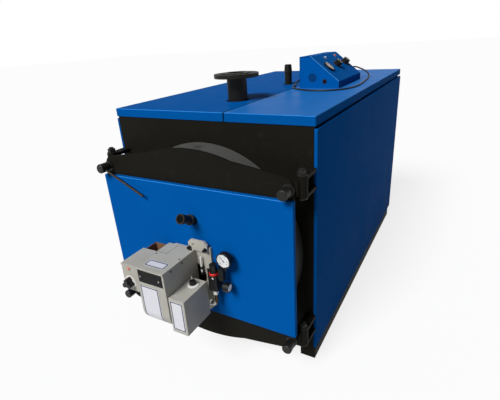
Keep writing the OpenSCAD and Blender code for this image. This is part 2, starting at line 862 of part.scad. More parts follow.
// Eight lugs on the front plate, two at each corner, drilled for the pins
module hinge_lugs() {
    color("#1C1C1A") placed() for (c = corners, up = [-1, 1]) {
        x = c.x * pin_x;
        z0 = vessel_z + c.y * bolt_dz + up * (block_h / 2 + seat + lug_t / 2) - lug_t / 2;
        difference() {
            union() {
                rod_z(hinge_eye_r, z0, z0 + lug_t, x, pin_y);
                block([x - hinge_eye_r, pin_y, z0], [x + hinge_eye_r, front_face, z0 + lug_t]);
            }
            rod_z(hinge_pin_r + run_fit, z0 - 1, z0 + lug_t + 1, x, pin_y);
        }
    }
}

// Four pins through the lugs, each with a washer and a hexagon nut on top and a head below
module hinge_pins() {
    color("#2A2A29") placed() for (c = corners) translate([c.x * pin_x, pin_y, vessel_z + c.y * bolt_dz]) {
        washer_top = lug_far + washer_t;
        rod_z(hinge_pin_r, -washer_top - pin_end, washer_top + pin_nut_h + pin_end);
        rod_z(hinge_eye_r - pin_head_step, lug_far, washer_top);
        translate([0, 0, washer_top]) cylinder(r = pin_nut_r, h = pin_nut_h, $fn = 6);
        rod_z(hinge_eye_r - pin_head_step, -washer_top, -lug_far);
    }
}

// Hinge block on its pin, drilled for the pin and for the bolt's shank
module hinge_block(side, up, front) {
    z = vessel_z + up * bolt_dz;
    translate([0, 0, z - block_h / 2]) difference() {
        union() {
            rod_z(hinge_eye_r, 0, block_h, side * pin_x, pin_y);
            scale([side, 1, 1])
                block([bolt_x - block_half_w, front, 0], [pin_x, pin_y + hinge_eye_r, block_h]);
        }
        rod_z(hinge_pin_r + run_fit, -1, block_h + 1, side * pin_x, pin_y);
        rod_y(bolt_r + seat, front - 1, door_back + shank_depth + 1, side * bolt_x, block_h / 2);
    }
}

module left_hinge_blocks() {
    color("#2A2A29") placed() for (up = [-1, 1]) hinge_block(-1, up, door_back + leave_gap);
}

module right_hinge_blocks() {
    color("#2A2A29") placed() for (up = [-1, 1]) hinge_block(1, up, door_back);
}

// Outline of the console's wrapped sheet, or of the cheek inside it
module console_outline(inset) {
    miter = inset * tan((90 - slope_angle) / 2);
    shoulder = inset * tan(slope_angle / 2);
    polygon([
        [console_x + inset, jacket_h + inset], [console_foot_x - inset, jacket_h + inset],
        [console_foot_x - inset, jacket_h + console_toe - miter],
        [slope_x - shoulder, slope_top_z - inset], [console_x + inset, slope_top_z - inset]
    ]);
}

// Folded console body with a sloping face, sunk cheeks and the spindles of its two knobs
module console_case() {
    color("#0F55A0") placed() {
        difference() {
            slab_y(console_y, console_end) console_outline(0);
            slab_y(console_y - 1, console_y + cheek_depth) console_outline(sheet);
            slab_y(console_end - cheek_depth, console_end + 1) console_outline(sheet);
            rod_y(plug_r, console_y, console_y + 2 * cheek_depth, console_x + plug_in, jacket_h + plug_up);
            rod_y(cheek_hole_r, console_y, console_y + spindle_h,
                  console_x + cheek_hole_in, jacket_h + cheek_hole_up);
        }
        for (along = [thermostat_at, limiter_at])
            on_slope(knob_down, along) rod_z(spindle_r, -1, spindle_h);
    }
}

// Dial thermometer and two lamps on the console's slope
module console_instruments() {
    color("#202020") placed() {
        on_slope(knob_down, dial_at) difference() {
            rod_z(dial_r, 0, dial_h);
            rod_z(dial_r - dial_rim, dial_h - dial_sunk, dial_h + 1);
        }
        for (along = [first_lamp_at, second_lamp_at]) on_slope(lamp_down, along) {
            rod_z(lamp_r, 0, lamp_h);
            rod_z(lamp_r + lamp_rim, 0, lamp_rim);
        }
    }
}

// Flutes round a knob of radius r
module flutes(r, z0, z1) {
    for (i = [0 : knob_flutes - 1]) {
        turn = 360 * i / knob_flutes;
        rod_z(flute_r, z0, z1, r * cos(turn), r * sin(turn));
    }
}

// Console knob on its spindle: round skirt with a fluted grip on it
module console_knob(along) {
    grip_r = knob_r - knob_skirt_w;
    on_slope(knob_down, along) difference() {
        union() {
            rod_z(knob_r, knob_gap, knob_skirt_h);
            rod_z(grip_r, knob_skirt_h, knob_h);
        }
        flutes(grip_r, knob_skirt_h, knob_h + 1);
        rod_z(spindle_r + run_fit, 0, spindle_h + seat);
    }
}

module thermostat_knob() {
    color("#1A1A1A") placed() console_knob(thermostat_at);
}

module limiter_knob() {
    color("#1A1A1A") placed() console_knob(limiter_at);
}

// Glands on the console's far end and on its back
module cable_glands() {
    color("#1A1A1A") placed() {
        translate(gland_far) rotate([-90, 0, 0]) gland(cheek_depth);
        translate(gland_back) rotate([0, -90, 0]) gland(0);
    }
}

// One gland: hexagon with its foot sunk by depth, then a round dome
module gland(depth) {
    translate([0, 0, -depth]) cylinder(r = gland_r, h = gland_hex_h + depth, $fn = 6);
    rod_z(gland_r - gland_step, gland_hex_h, gland_len);
}

// Point on a smooth curve through the route, at share t of the stretch that starts at point i
function route_at(p, i, t) =
    let (n = len(p), a = p[max(i - 1, 0)], b = p[i], c = p[min(i + 1, n - 1)], d = p[min(i + 2, n - 1)])
    0.5 * (2 * b + (c - a) * t + (2 * a - 5 * b + 4 * c - d) * t * t + (3 * b - a - 3 * c + d) * t * t * t);

function unit(v) = v / norm(v);

// Points along the route, two for each stretch
function route_points(p) = concat(
    [for (i = [0 : len(p) - 2], t = [0, 0.5]) route_at(p, i, t)], [p[len(p) - 1]]);

// Tube swept along a list of points
module swept_tube(path, r, sides) {
    n = len(path);
    rings = [for (i = [0 : n - 1])
        let (along = unit(path[min(i + 1, n - 1)] - path[max(i - 1, 0)]),
             across = unit(cross([0, 0, 1], along)), up = cross(along, across))
        for (j = [0 : sides - 1]) path[i] + r * (cos(360 * j / sides) * across + sin(360 * j / sides) * up)];
    walls = [for (i = [0 : n - 2], j = [0 : sides - 1])
        let (k = (j + 1) % sides)
        [i * sides + j, (i + 1) * sides + j, (i + 1) * sides + k, i * sides + k]];
    near_end = [for (j = [0 : sides - 1]) j];
    far_end = [for (j = [sides - 1 : -1 : 0]) (n - 1) * sides + j];
    polyhedron(points = rings, faces = concat([near_end], walls, [far_end]));
}

module console_cable() {
    color("#151515") placed() swept_tube(route_points(cable_route), cable_r, cable_sides);
}

// Points of an arc about a centre, from one angle to another
function arc(centre, r, from, to, steps) =
    [for (i = [0 : steps]) let (turn = from + (to - from) * i / steps) centre + r * [cos(turn), sin(turn)]];

// Outline of the door's plate about the door's centre: crown above and below, an ear at each corner
module door_outline() {
    crown_h = crown_foot_drop + crown_rise;
    crown_r = (pow(crown_half_w, 2) + pow(crown_h, 2)) / (2 * crown_h);
    crown_half = asin(crown_half_w / crown_r);
    ear = [half_w - door_edge - ear_r, bolt_dz + ear_rise - ear_r];
    upper = concat(
        arc([-ear.x, ear.y], ear_r, 180, 180 - ear_turn, 10),
        arc([0, shell_r + crown_rise - crown_r], crown_r, 90 + crown_half, 90 - crown_half, 32),
        arc(ear, ear_r, ear_turn, 0, 10));
    lower = [for (i = [len(upper) - 1 : -1 : 0]) [upper[i].x, -upper[i].y]];
    polygon(concat(upper, lower));
}

// Bore for the blast tube and slanted bore for the sight tube, through all that the door holds
module door_bores() {
    rod_y(blast_r + 2, cover_front - 1, front_face, 0, burner_z);
    on_sight() rod_z(sight_bore_r, -3 * drum_len, sight_len);
}

module door_plate() {
    color("#1D1D1B") placed() difference() {
        translate([0, 0, vessel_z]) slab_y(door_front, door_back) door_outline();
        door_bores();
        for (c = corners)
            rod_y(bolt_r + run_fit, door_front - 1, door_back + 1, c.x * bolt_x, vessel_z + c.y * bolt_dz);
    }
}

module door_drum() {
    color("#464646") placed() difference() {
        rod_y(shell_r, door_back, drum_back, 0, vessel_z);
        rod_y(shell_r - drum_wall, door_back - 1, drum_back + 1, 0, vessel_z);
    }
}

// Refractory lining that fills the drum
module door_lining() {
    color("#B9AFA0") placed() difference() {
        rod_y(shell_r - drum_wall - seat, door_back, drum_back - lining_inset, 0, vessel_z);
        door_bores();
    }
}

// Rope gasket round the door's mouth, with the rim that carries it inside the drum
module door_gasket() {
    color("#D8D4CA") placed() difference() {
        rod_y(gasket_r + gasket_w / 2, drum_back - lining_inset, front_face - seat, 0, vessel_z);
        rod_y(gasket_r - gasket_w / 2, drum_back - lining_inset - 1, front_face, 0, vessel_z);
    }
}

// Sheet cover of the door: a pan, open to the back
module door_cover() {
    half = half_w - cover_edge;
    high = bolt_dz - cover_drop;
    color("#00539B") placed() difference() {
        block([-half, cover_front, vessel_z - high], [half, door_front, vessel_z + high]);
        block([-half + sheet, cover_front + sheet, vessel_z - high + sheet],
              [half - sheet, door_front + 1, vessel_z + high - sheet]);
        rod_y(mount_boss_r + seat, cover_front - 1, door_front, 0, burner_z);
        on_sight() rod_z(sight_r + sight_room, -sight_root, sight_len);
    }
}

// Door bolt along Y: washer, neck and cross-drilled head in front of the plate, shank behind it
module door_bolt(shank_end) {
    face = door_front - seat;
    head = face - washer_t - bolt_neck_len - bolt_head_len;
    rod_y(washer_r, face - washer_t, face);
    rod_y(bolt_neck_r, face - washer_t - bolt_neck_len, face - washer_t);
    difference() {
        translate([0, head, 0]) rotate([-90, 0, 0]) rotate_extrude() polygon([
            [0, 0], [bolt_head_r - bolt_chamfer, 0], [bolt_head_r, bolt_chamfer],
            [bolt_head_r, bolt_head_len - bolt_chamfer], [bolt_head_r - bolt_chamfer, bolt_head_len],
            [0, bolt_head_len]
        ]);
        translate([0, head + bolt_head_len / 2, 0]) rotate([0, 90 + bar_angle, 0])
            rod_z(bar_r, -bolt_head_r - 1, bolt_head_r + 1);
    }
    rod_y(bolt_r, face - washer_t, shank_end);
}

module door_bolts() {
    color("#1D1D1B") placed() {
        for (up = [-1, 1]) translate([bolt_x, 0, vessel_z + up * bolt_dz]) door_bolt(door_back + shank_depth);
        translate([-bolt_x, 0, vessel_z - bolt_dz]) door_bolt(door_back);
    }
}

// Upper left bolt with a tommy bar through its head
module clamp_bolt() {
    bar_y = door_front - seat - washer_t - bolt_neck_len - bolt_head_len / 2;
    color("#1D1D1B") placed() translate([-bolt_x, 0, vessel_z + bolt_dz]) {
        door_bolt(door_back);
        translate([0, bar_y, 0]) rotate([0, 90 + bar_angle, 0]) rod_z(bar_r, -bolt_head_r - bar_tail, bar_len);
    }
}

// Slanted sight tube on the door's plate: collar, tube and front ring
module sight_tube() {
    color("#1A1A1A") placed() difference() {
        on_sight() union() {
            rod_z(sight_r, -sight_root, sight_len);
            rod_z(sight_collar_r, sight_r, sight_r + sight_collar_len);
            rod_z(sight_ring_r, sight_len - sight_ring_len, sight_len);
        }
        on_sight() rod_z(sight_bore_r, -sight_root - 1, sight_len);
        on_sight() rod_z(sight_glass_r, sight_len - sight_sunk, sight_len + 1);
        block([sight_x - 2 * sight_r, door_front, vessel_z],
              [sight_x + 2 * sight_r, front_face, vessel_z + 2 * sight_dz]);
    }
}

// Burner's mounting plate: plate with cut lower corners, boss through the cover, bracket on top
module burner_mount_plate() {
    foot_z = burner_z - mount_foot;
    bracket_z = burner_z + mount_top + bracket_rise;
    color("#8E8D86") placed() difference() {
        union() {
            slab_y(mount_front, cover_front) polygon([
                [-mount_half_w, foot_z + mount_chamfer], [-mount_half_w + mount_chamfer, foot_z],
                [mount_half_w - mount_chamfer, foot_z], [mount_half_w, foot_z + mount_chamfer],
                [mount_half_w, burner_z + mount_top], [-bracket_left, burner_z + mount_top],
                [-bracket_left, housing_top_z - sheet], [-mount_half_w, housing_top_z - sheet]
            ]);
            rod_y(mount_boss_r, cover_front, door_front, 0, burner_z);
            slab_y(mount_front - bracket_t, mount_front) polygon([
                [-bracket_left, housing_top_z + seat], [bracket_w - bracket_left, housing_top_z + seat],
                [bracket_w - bracket_left, bracket_z - bracket_chamfer],
                [bracket_w - bracket_left - bracket_chamfer, bracket_z],
                [bracket_chamfer - bracket_left, bracket_z],
                [-bracket_left, bracket_z - bracket_chamfer]
            ]);
        }
        rod_y(blast_r + seat, mount_front - 1, door_front + 1, 0, burner_z);
    }
}

module blast_tube() {
    color("#5A5550") placed() difference() {
        rod_y(blast_r, mount_front, front_face + blast_reach, 0, burner_z);
        rod_y(blast_r - blast_wall, mount_front - 1, front_face + blast_reach + 1, 0, burner_z);
    }
}

// Burner's fan housing: rounded lower front edge, lip of the top cover, sunk window
module burner_housing() {
    foot_z = burner_z - housing_foot;
    window_mid = (housing_left + housing_right) / 2;
    color("#A09E96") placed() difference() {
        union() {
            slab_x(housing_left, housing_right) polygon(concat(
                [[mount_front, foot_z], [mount_front, housing_top_z], [housing_front, housing_top_z]],
                arc([housing_front + housing_round, foot_z + housing_round], housing_round, 180, 270, 24)));
            block([housing_left, housing_front - lip_t, housing_top_z - lip_h],
                  [housing_right, housing_front + lip_t, housing_top_z]);
        }
        block([window_mid - window_w / 2, housing_front - 1, housing_top_z - window_drop - window_h],
              [window_mid + window_w / 2, housing_front + window_sunk, housing_top_z - window_drop]);
    }
}

// Control box left of the housing, with the spindle of its knob
module burner_control_box() {
    color("#A09E96") placed() {
        slab_y(housing_front, housing_front + control_d) polygon(concat(
            [[housing_left, control_foot_z], [housing_left, housing_top_z], [control_left, housing_top_z]],
            arc([control_left + control_round, control_foot_z + control_round], control_round, 180, 270, 12)));
        block([control_left, housing_front - lip_t, housing_top_z - lip_h],
              [housing_left, housing_front + lip_t, housing_top_z]);
        at_control_knob() rod_y(spindle_r, -spindle_h, 1);
    }
}

// Place of the control knob on the control box's front
module at_control_knob() {
    translate([control_left + control_knob_in, housing_front, control_foot_z + control_knob_up]) children();
}

// Three-lobed control knob on its spindle
module burner_knob() {
    color("#141414") placed() at_control_knob() difference() {
        slab_y(-control_knob_len - seat, -seat) union() {
            circle(r = control_lobe_at);
            for (turn = [90, 210, 330])
                translate(control_lobe_at * [cos(turn), sin(turn)]) circle(r = control_lobe_r);
        }
        rod_y(spindle_r + run_fit, -spindle_h - seat, 0);
    }
}

// Air intake box behind the control box, open at the top
module intake_box() {
    x0 = control_left + intake_inset;
    y0 = housing_front + control_d;
    y1 = mount_front - intake_back;
    color("#7A6A5C") placed() difference() {
        block([x0, y0, housing_top_z - intake_h], [housing_left, y1, housing_top_z - 2]);
        block([x0 + intake_wall, y0 + intake_wall, housing_top_z - intake_h + intake_wall],
              [housing_left - intake_wall, y1 - intake_wall, housing_top_z]);
    }
}

// Side tank on the housing's right wall
module side_tank() {
    color("#A09E96") placed()
        block([housing_right, tank_front, tank_top_z - tank_h],
              [housing_right + tank_w, tank_front + tank_d, tank_top_z]);
}

module tank_cap() {
    color("#141414") placed() translate([housing_right + tank_w / 2, tank_front + cap_at, tank_top_z]) {
        rod_z(cap_ring_r, 0, cap_ring_h);
        rod_z(cap_r, cap_ring_h, cap_h);
    }
}

// Air regulator: back plate, body, bonnet collar, knob spindle, drain cup, fitting and gauge tee
module air_regulator() {
    half = reg_body / 2;
    color("#181818") placed() {
        block([mount_half_w - reg_plate_hold, mount_front - reg_plate_t, reg_foot_z],
              [reg_x + half, mount_front, reg_top_z]);
        cut = half - reg_chamfer;
        translate([reg_x, reg_y, reg_foot_z]) linear_extrude(height = reg_body_h) polygon([
            [half, -cut], [half, cut], [cut, half], [-cut, half],
            [-half, cut], [-half, -cut], [-cut, -half], [cut, -half]
        ]);
        rod_z(reg_collar_r, reg_top_z, reg_top_z + reg_collar_h, reg_x, reg_y);
        rod_z(spindle_r, reg_top_z, reg_top_z + reg_collar_h + spindle_h, reg_x, reg_y);
        rod_z(reg_cup_r, reg_foot_z - reg_cup_h, reg_foot_z, reg_x, reg_y);
        rod_z(reg_fitting_r, reg_foot_z - reg_cup_h - reg_fitting_len, reg_foot_z - reg_cup_h, reg_x, reg_y);
        block([tee_x - tee_w / 2, reg_y - tee_w / 2, tee_foot_z],
              [tee_x + tee_w / 2, reg_y + tee_w / 2, tee_foot_z + tee_h]);
        translate([reg_x + half - 1, reg_y, reg_top_z - stem_r - stem_edge]) rotate([0, 90, 0])
            rod_z(stem_r, 0, tee_gap + 2);
    }
}

// Regulator's knob: ribbed cap that turns on the spindle
module regulator_knob() {
    z0 = reg_top_z + reg_collar_h + seat;
    color("#141414") placed() difference() {
        union() {
            rod_z(reg_knob_r, z0, z0 + reg_band_h, reg_x, reg_y);
            rod_z(reg_knob_r - reg_band_step, z0 + reg_band_h, z0 + reg_knob_h, reg_x, reg_y);
        }
        rod_z(spindle_r + run_fit, z0 - 1, z0 + spindle_h, reg_x, reg_y);
        translate([reg_x, reg_y, 0]) flutes(reg_knob_r, z0 - 1, z0 + reg_knob_h + 1);
    }
}

// Large gauge on the tee, facing the front, and small gauge on the body, facing the right
module pressure_gauges() {
    small_x = reg_x + reg_body / 2;
    small_z = reg_foot_z + small_gauge_r + stem_edge;
    color("#151515") placed() {
        difference() {
            rod_y(gauge_r, reg_y - gauge_d / 2, reg_y + gauge_d / 2, tee_x, gauge_z);
            rod_y(gauge_r - gauge_rim, reg_y - gauge_d / 2 - 1, reg_y - gauge_d / 2 + gauge_sunk,
                  tee_x, gauge_z);
        }
        rod_z(stem_r, tee_foot_z + tee_h, gauge_z - gauge_r + 1, tee_x, reg_y);
        translate([small_x, reg_y, small_z]) rotate([0, 90, 0]) {
            rod_z(stem_r, 0, tee_gap);
            difference() {
                rod_z(small_gauge_r, tee_gap, tee_gap + small_gauge_d);
                rod_z(small_gauge_r - gauge_rim, tee_gap + small_gauge_d - gauge_sunk,
                      tee_gap + small_gauge_d + 1);
            }
        }
    }
}

skids();
front_plate();
rear_plate();
pressure_shell();
tube_plate();
furnace_tube();
smoke_tubes();
smoke_box();
flue_spigot();
left_side_panel();
right_side_panel();
left_lid();
right_lid();
flow_pipe();
return_pipe();
safety_socket();
hinge_lugs();
hinge_pins();
left_hinge_blocks();
console_case();
console_instruments();
cable_glands();
console_cable();
thermostat_knob();
limiter_knob();
door_plate();
door_drum();
door_lining();
door_gasket();
door_cover();
right_hinge_blocks();
door_bolts();
sight_tube();
clamp_bolt();
burner_mount_plate();
blast_tube();
burner_housing();
burner_control_box();
burner_knob();
intake_box();
side_tank();
tank_cap();
air_regulator();
regulator_knob();
pressure_gauges();
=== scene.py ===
"""Looks of an industrial hot water boiler: finishes, folded sheet, fasteners, dials, cable and studio."""

import json
import math

import bmesh
import bpy
from bpy.props import FloatProperty, FloatVectorProperty, PointerProperty
from mathutils import Matrix, Vector

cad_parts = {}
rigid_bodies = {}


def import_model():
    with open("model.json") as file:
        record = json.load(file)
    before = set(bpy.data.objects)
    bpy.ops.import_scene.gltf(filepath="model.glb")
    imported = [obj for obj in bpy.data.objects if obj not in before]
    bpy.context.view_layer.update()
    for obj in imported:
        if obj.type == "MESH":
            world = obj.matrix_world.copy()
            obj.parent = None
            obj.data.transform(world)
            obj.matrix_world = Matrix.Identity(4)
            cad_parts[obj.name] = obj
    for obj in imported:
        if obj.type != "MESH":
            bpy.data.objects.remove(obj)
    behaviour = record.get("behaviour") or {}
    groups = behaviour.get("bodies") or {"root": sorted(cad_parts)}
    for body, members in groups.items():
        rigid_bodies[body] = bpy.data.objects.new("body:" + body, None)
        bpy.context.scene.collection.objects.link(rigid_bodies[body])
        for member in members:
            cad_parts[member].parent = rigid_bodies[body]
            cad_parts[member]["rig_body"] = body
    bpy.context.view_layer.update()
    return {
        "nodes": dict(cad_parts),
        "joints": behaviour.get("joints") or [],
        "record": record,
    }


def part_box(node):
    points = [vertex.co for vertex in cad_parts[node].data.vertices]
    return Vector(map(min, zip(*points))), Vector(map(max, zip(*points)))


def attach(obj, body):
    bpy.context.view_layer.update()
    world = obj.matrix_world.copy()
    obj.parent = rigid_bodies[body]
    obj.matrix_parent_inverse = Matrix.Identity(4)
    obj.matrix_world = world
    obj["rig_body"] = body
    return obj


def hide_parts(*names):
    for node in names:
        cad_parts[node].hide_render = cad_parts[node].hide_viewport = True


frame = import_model()

bl_info = {
    "name": "Industrial boiler",
    "version": (1, 0, 0),
    "blender": (4, 5, 0),
    "location": "View3D > Sidebar > Boiler",
    "description": "Dresses the packed boiler in its finishes, fittings, cable and studio",
    "category": "Object",
}

MM = 0.001
# Depth of the lid's front edge: depths below are millimetres behind it, as in the part's source
LID_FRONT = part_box("left_lid")[0].y
# Heights between which the painted shade on the door's drum fades out
DRUM_SHADE_HEIGHTS = (620 * MM, 780 * MM)
# Camera: azimuth, elevation and roll in degrees, place and reach in metres, lens and sensor in millimetres
CAMERA_ANGLES = (30.389, 22.875, -3.786)
CAMERA_PLACE = (0.9244, -1.9831, 1.3356)
CAMERA_REACH = 200.0
CAMERA_LENS, CAMERA_SENSOR = 27.544, 36.0
# Directions of the key light and of the bright wall behind the boiler, and the angles where the wall ends
KEY_FROM = (-0.15, -0.7, 0.7)
WALL_TOWARD = (-0.02, 0.9, 0.43)
WALL_ANGLES = (28, 10)
# Turns of an evenly ticked scale in degrees
TICK_TURNS = [225 - 27 * i for i in range(11)]


def srgb(code):
    """Linear colour of an sRGB hex code, with full alpha."""
    shares = [int(code[i:i + 2], 16) / 255 for i in (1, 3, 5)]
    return (*[c / 12.92 if c <= 0.04045 else ((c + 0.055) / 1.055) ** 2.4 for c in shares], 1.0)


def length(name, description, mm):
    return FloatProperty(name=name, description=description, default=mm * MM, min=0.0, unit="LENGTH")


def colour(name, description, code):
    return FloatVectorProperty(name=name, description=description, default=srgb(code)[:3],
                               size=3, min=0.0, max=1.0, subtype="COLOR")


def level(name, description, value):
    return FloatProperty(name=name, description=description, default=value, min=0.0)


class BoilerColours(bpy.types.PropertyGroup):
    """Colours of the boiler's paints, plastics and plates"""
    jacket: colour("Jacket", "Powder coat of the side panels", "#00529D")
    left_lid: colour("Left lid", "Powder coat of the left lid", "#02529B")
    # Right lid: lighter than the left lid, a painted reflection of the bright wall on its top
    right_lid: colour("Right lid", "Powder coat of the right lid, lighter for a painted reflection", "#1F68B2")
    door: colour("Door", "Powder coat of the door's cover", "#00539F")
    console: colour("Console", "Powder coat of the console", "#01549E")
    plug: colour("Console plug", "Paint of the plug in the console's cheek", "#0B3C70")
    edge: colour("Console edge", "Painted highlight along the console's near edge", "#4389CC")
    fold: colour("Fold highlight", "Painted highlight along the front folds of lids and cover", "#2B78C6")
    enamel: colour("Black enamel", "Stove enamel of plates and hinges", "#171715")
    drum: colour("Drum", "Heat-resistant paint of the door's drum", "#50504E")
    burner: colour("Burner", "Textured paint of the burner", "#ABA99F")
    plastic: colour("Black plastic", "Knobs, rims and connectors", "#101011")
    red: colour("Red ring", "Locking ring of the regulator", "#D01812")
    plate: colour("Bare plate", "Printed film without words", "#D5D6DC")
    border: colour("Plate border", "Dark line round a bare plate", "#23264A")


class BoilerSizes(bpy.types.PropertyGroup):
    """Sizes of sheet, folds, edges and small fittings"""
    sheet: length("Sheet", "Thickness of the jacket's sheet", 2)
    fold: length("Fold", "Outer radius of a fold in the sheet", 4)
    seam_fold: length("Seam fold", "Depth of a lid's fold along the seam", 20)
    seam_gap: length("Seam gap", "How far each lid stays clear of the seam", 2.6)
    pipe_hole: length("Pipe hole", "Radius of the lid's holes for the flanged pipes", 53.45)
    socket_hole: length("Socket hole", "Radius of the lid's hole for the socket", 31.5)
    smoke_tube: length("Smoke tube", "Outer radius of a smoke tube", 44.5)
    pipe: length("Pipe", "Outer radius of a flanged pipe", 44.45)
    flange: length("Flange", "Thickness of a pipe's flange", 20)
    lip: length("Lip", "How far the burner's top cover stands proud of its front", 2)
    boss_hole: length("Boss hole", "Radius of the cover's hole for the burner's boss", 84.3)
    sight_hole: length("Sight hole", "Radius of the cover's hole for the sight tube", 20)
    console_top: length("Console top", "Width of the console's level top", 59)
    console_toe: length("Console toe", "Height of the console's toe", 33)
    cheek: length("Cheek", "Depth that the console's cheeks are sunk", 2)
    cable: length("Cable", "Diameter of the console's cable", 8)


class BoilerStudio(bpy.types.PropertyGroup):
    """Light and floor"""
    sun: level("Key light", "Strength of the soft key light", 3.7)
    sun_angle: FloatProperty(name="Key softness", description="Angle that the key light fills",
                             default=math.radians(24), subtype="ANGLE")
    ambient: level("Ambient", "Level of the light from all round", 0.12)
    floor: colour("Floor", "Pale studio floor", "#F7F7F7")
    floor_glow: level("Floor glow", "Share of plain white in the floor as it is seen", 0.8)
    floor_bounce: level("Floor bounce", "Share of its light that the floor throws on the boiler", 0.45)
    floor_size: length("Floor size", "Width of the studio floor", 90000)


# Scene helpers


def at(x, y, z):
    """Point given in millimetres from the middle, the lid's front and the floor, in the part's frame."""
    return Vector((x * MM, y * MM + LID_FRONT, z * MM))


def per(mm):
    """Scale of a pattern whose features are that many millimetres wide."""
    return 1000 / mm


def shade(tone, share=1.0):
    """A colour made lighter or darker, with full alpha."""
    return (*[min(c * share, 1.0) for c in tone[:3]], 1.0)


def feed(tree, node, inputs):
    """Gives each named or numbered input a value or a link."""
    for key, value in inputs.items():
        if isinstance(value, bpy.types.NodeSocket):
            tree.links.new(value, node.inputs[key])
        else:
            node.inputs[key].default_value = value


def add(tree, kind, inputs, **settings):
    """Adds a node with its settings and inputs."""
    node = tree.nodes.new(kind)
    for key, value in settings.items():
        setattr(node, key, value)
    feed(tree, node, inputs)
    return node


def start_finish(name, tone, roughness, inputs=None):
    """New material with an even colour: its tree, its shader and each point's place in metres."""
    material = bpy.data.materials.new(name)
    material.use_nodes = True
    tree = material.node_tree
    shader = tree.nodes["Principled BSDF"]
    feed(tree, shader, {"Base Color": shade(tone), "Roughness": roughness, **(inputs or {})})
    place = add(tree, "ShaderNodeTexCoord", {}).outputs["Object"]
    return tree, shader, place


def finish(name):
    return bpy.data.materials[name]


def noise(tree, vector, width, detail, roughness=0.5):
    """Noise with features that many millimetres wide."""
    return add(tree, "ShaderNodeTexNoise", {"Vector": vector, "Scale": per(width), "Detail": detail,
                                            "Roughness": roughness}).outputs[0]


def blend(tree, share, low, high):
    """Colour that goes from one to another with a share."""
    return add(tree, "ShaderNodeMix", {0: share, 6: low, 7: high}, data_type="RGBA").outputs[2]


def ramp(tree, value, span=(0.0, 1.0), levels=(0.0, 1.0)):
    """Value with its span drawn out to other levels."""
    return add(tree, "ShaderNodeMapRange", {"Value": value, "From Min": span[0], "From Max": span[1],
                                            "To Min": levels[0], "To Max": levels[1]}).outputs[0]


def bump(tree, height, strength, depth, under=None):
    """Relief that many millimetres deep, over another relief if one is given."""
    inputs = {"Height": height, "Strength": strength, "Distance": depth * MM}
    if under is not None:
        inputs["Normal"] = under
    return add(tree, "ShaderNodeBump", inputs).outputs[0]


def larger(tree, first, second):
    """The larger of two values."""
    return add(tree, "ShaderNodeMath", {0: first, 1: second}, operation="MAXIMUM").outputs[0]


def mix_shaders(tree, share, first, second):
    """Shader that goes from one to another with a share."""
    return add(tree, "ShaderNodeMixShader", {0: share, 1: first.outputs[0], 2: second.outputs[0]})


# Finishes


def powder_coat(name, tone, specular, roughness):
    """Polyester powder coat baked on sheet steel: an even skin with a faint orange peel, several times its
    real size so that it shows; dust dulls it in patches and the sheet's waves bend what it mirrors."""
    tree, shader, place = start_finish(name, tone, roughness, {"Specular IOR Level": specular})
    peel = noise(tree, place, 7, 2.0)
    waves = noise(tree, place, 480, 1.0)
    dust = noise(tree, place, 110, 8.0, 0.6)
    tint = blend(tree, dust, shade(tone, 0.95), shade(tone, 1.05))
    dull = ramp(tree, dust, (0.35, 0.7), (roughness, roughness + 0.1))
    bent = bump(tree, waves, 0.3, 4)
    skin = bump(tree, peel, 0.08, 0.4, bent)
    feed(tree, shader, {"Base Color": tint, "Roughness": dull, "Normal": skin})


def stove_enamel(name, tone, specular, roughness):
    """Black stove enamel on rolled plate: satin, with the plate's grain under it, brownish where the heat
    has dried it, and a grey bloom of dust."""
    tree, shader, place = start_finish(name, tone, roughness, {"Specular IOR Level": specular})
    grain = noise(tree, place, 5, 4.0)
    heat = noise(tree, place, 190, 5.0)
    dust = noise(tree, place, 34, 9.0, 0.65)
    warm = (tone[0] * 1.3, tone[1] * 1.16, tone[2] * 0.9, 1.0)
    dried = blend(tree, heat, shade(tone, 0.75), warm)
    bloom = ramp(tree, dust, (0.55, 0.8), (0.0, 0.35))
    dusty = blend(tree, bloom, dried, shade(tone, 3.2))
    dull = ramp(tree, dust, levels=(roughness - 0.08, roughness + 0.14))
    skin = bump(tree, grain, 0.18, 0.6)
    feed(tree, shader, {"Base Color": dusty, "Roughness": dull, "Normal": skin})


def heat_paint(name, tone):
    """Dull aluminium-pigmented heat paint brushed on rolled plate: fine streaks round the drum, rubbed
    spots, and painted shade that darkens all but its upper part."""
    tree, shader, place = start_finish(name, tone, 0.62, {"Specular IOR Level": 0.25})
    along = add(tree, "ShaderNodeMapping", {"Vector": place, "Scale": (0.25, 1.0, 0.25)})
    streak = noise(tree, along.outputs[0], 9, 6.0)
    rub = noise(tree, place, 60, 7.0)
    brushed = blend(tree, streak, shade(tone, 0.72), shade(tone, 1.3))
    worn = ramp(tree, rub, (0.58, 0.72))
    mottled = blend(tree, worn, brushed, shade(tone, 0.5))
    # Darkened below its upper part: painted shade
    height = add(tree, "ShaderNodeSeparateXYZ", {"Vector": place}).outputs["Z"]
    unshaded = ramp(tree, height, DRUM_SHADE_HEIGHTS)
    shaded_below = blend(tree, unshaded, shade(tone, 0.12), mottled)
    skin = bump(tree, streak, 0.25, 0.5)
    feed(tree, shader, {"Base Color": shaded_below, "Normal": skin})


def boiler_plate(name, tone, rust):
    """Hot-rolled boiler plate with mill scale: blue-grey and dull, with rust where the scale has lifted."""
    tree, shader, place = start_finish(name, tone, 0.58, {"Metallic": 0.35})
    scale = noise(tree, place, 26, 8.0)
    lifted = noise(tree, place, 75, 9.0, 0.7)
    mottled = blend(tree, scale, shade(tone, 0.6), shade(tone, 1.5))
    bare = ramp(tree, lifted, (0.52, 0.66), (0.0, rust))
    rusted = blend(tree, bare, mottled, srgb("#6B3A1E"))
    skin = bump(tree, scale, 0.35, 0.8)
    feed(tree, shader, {"Base Color": rusted, "Normal": skin})


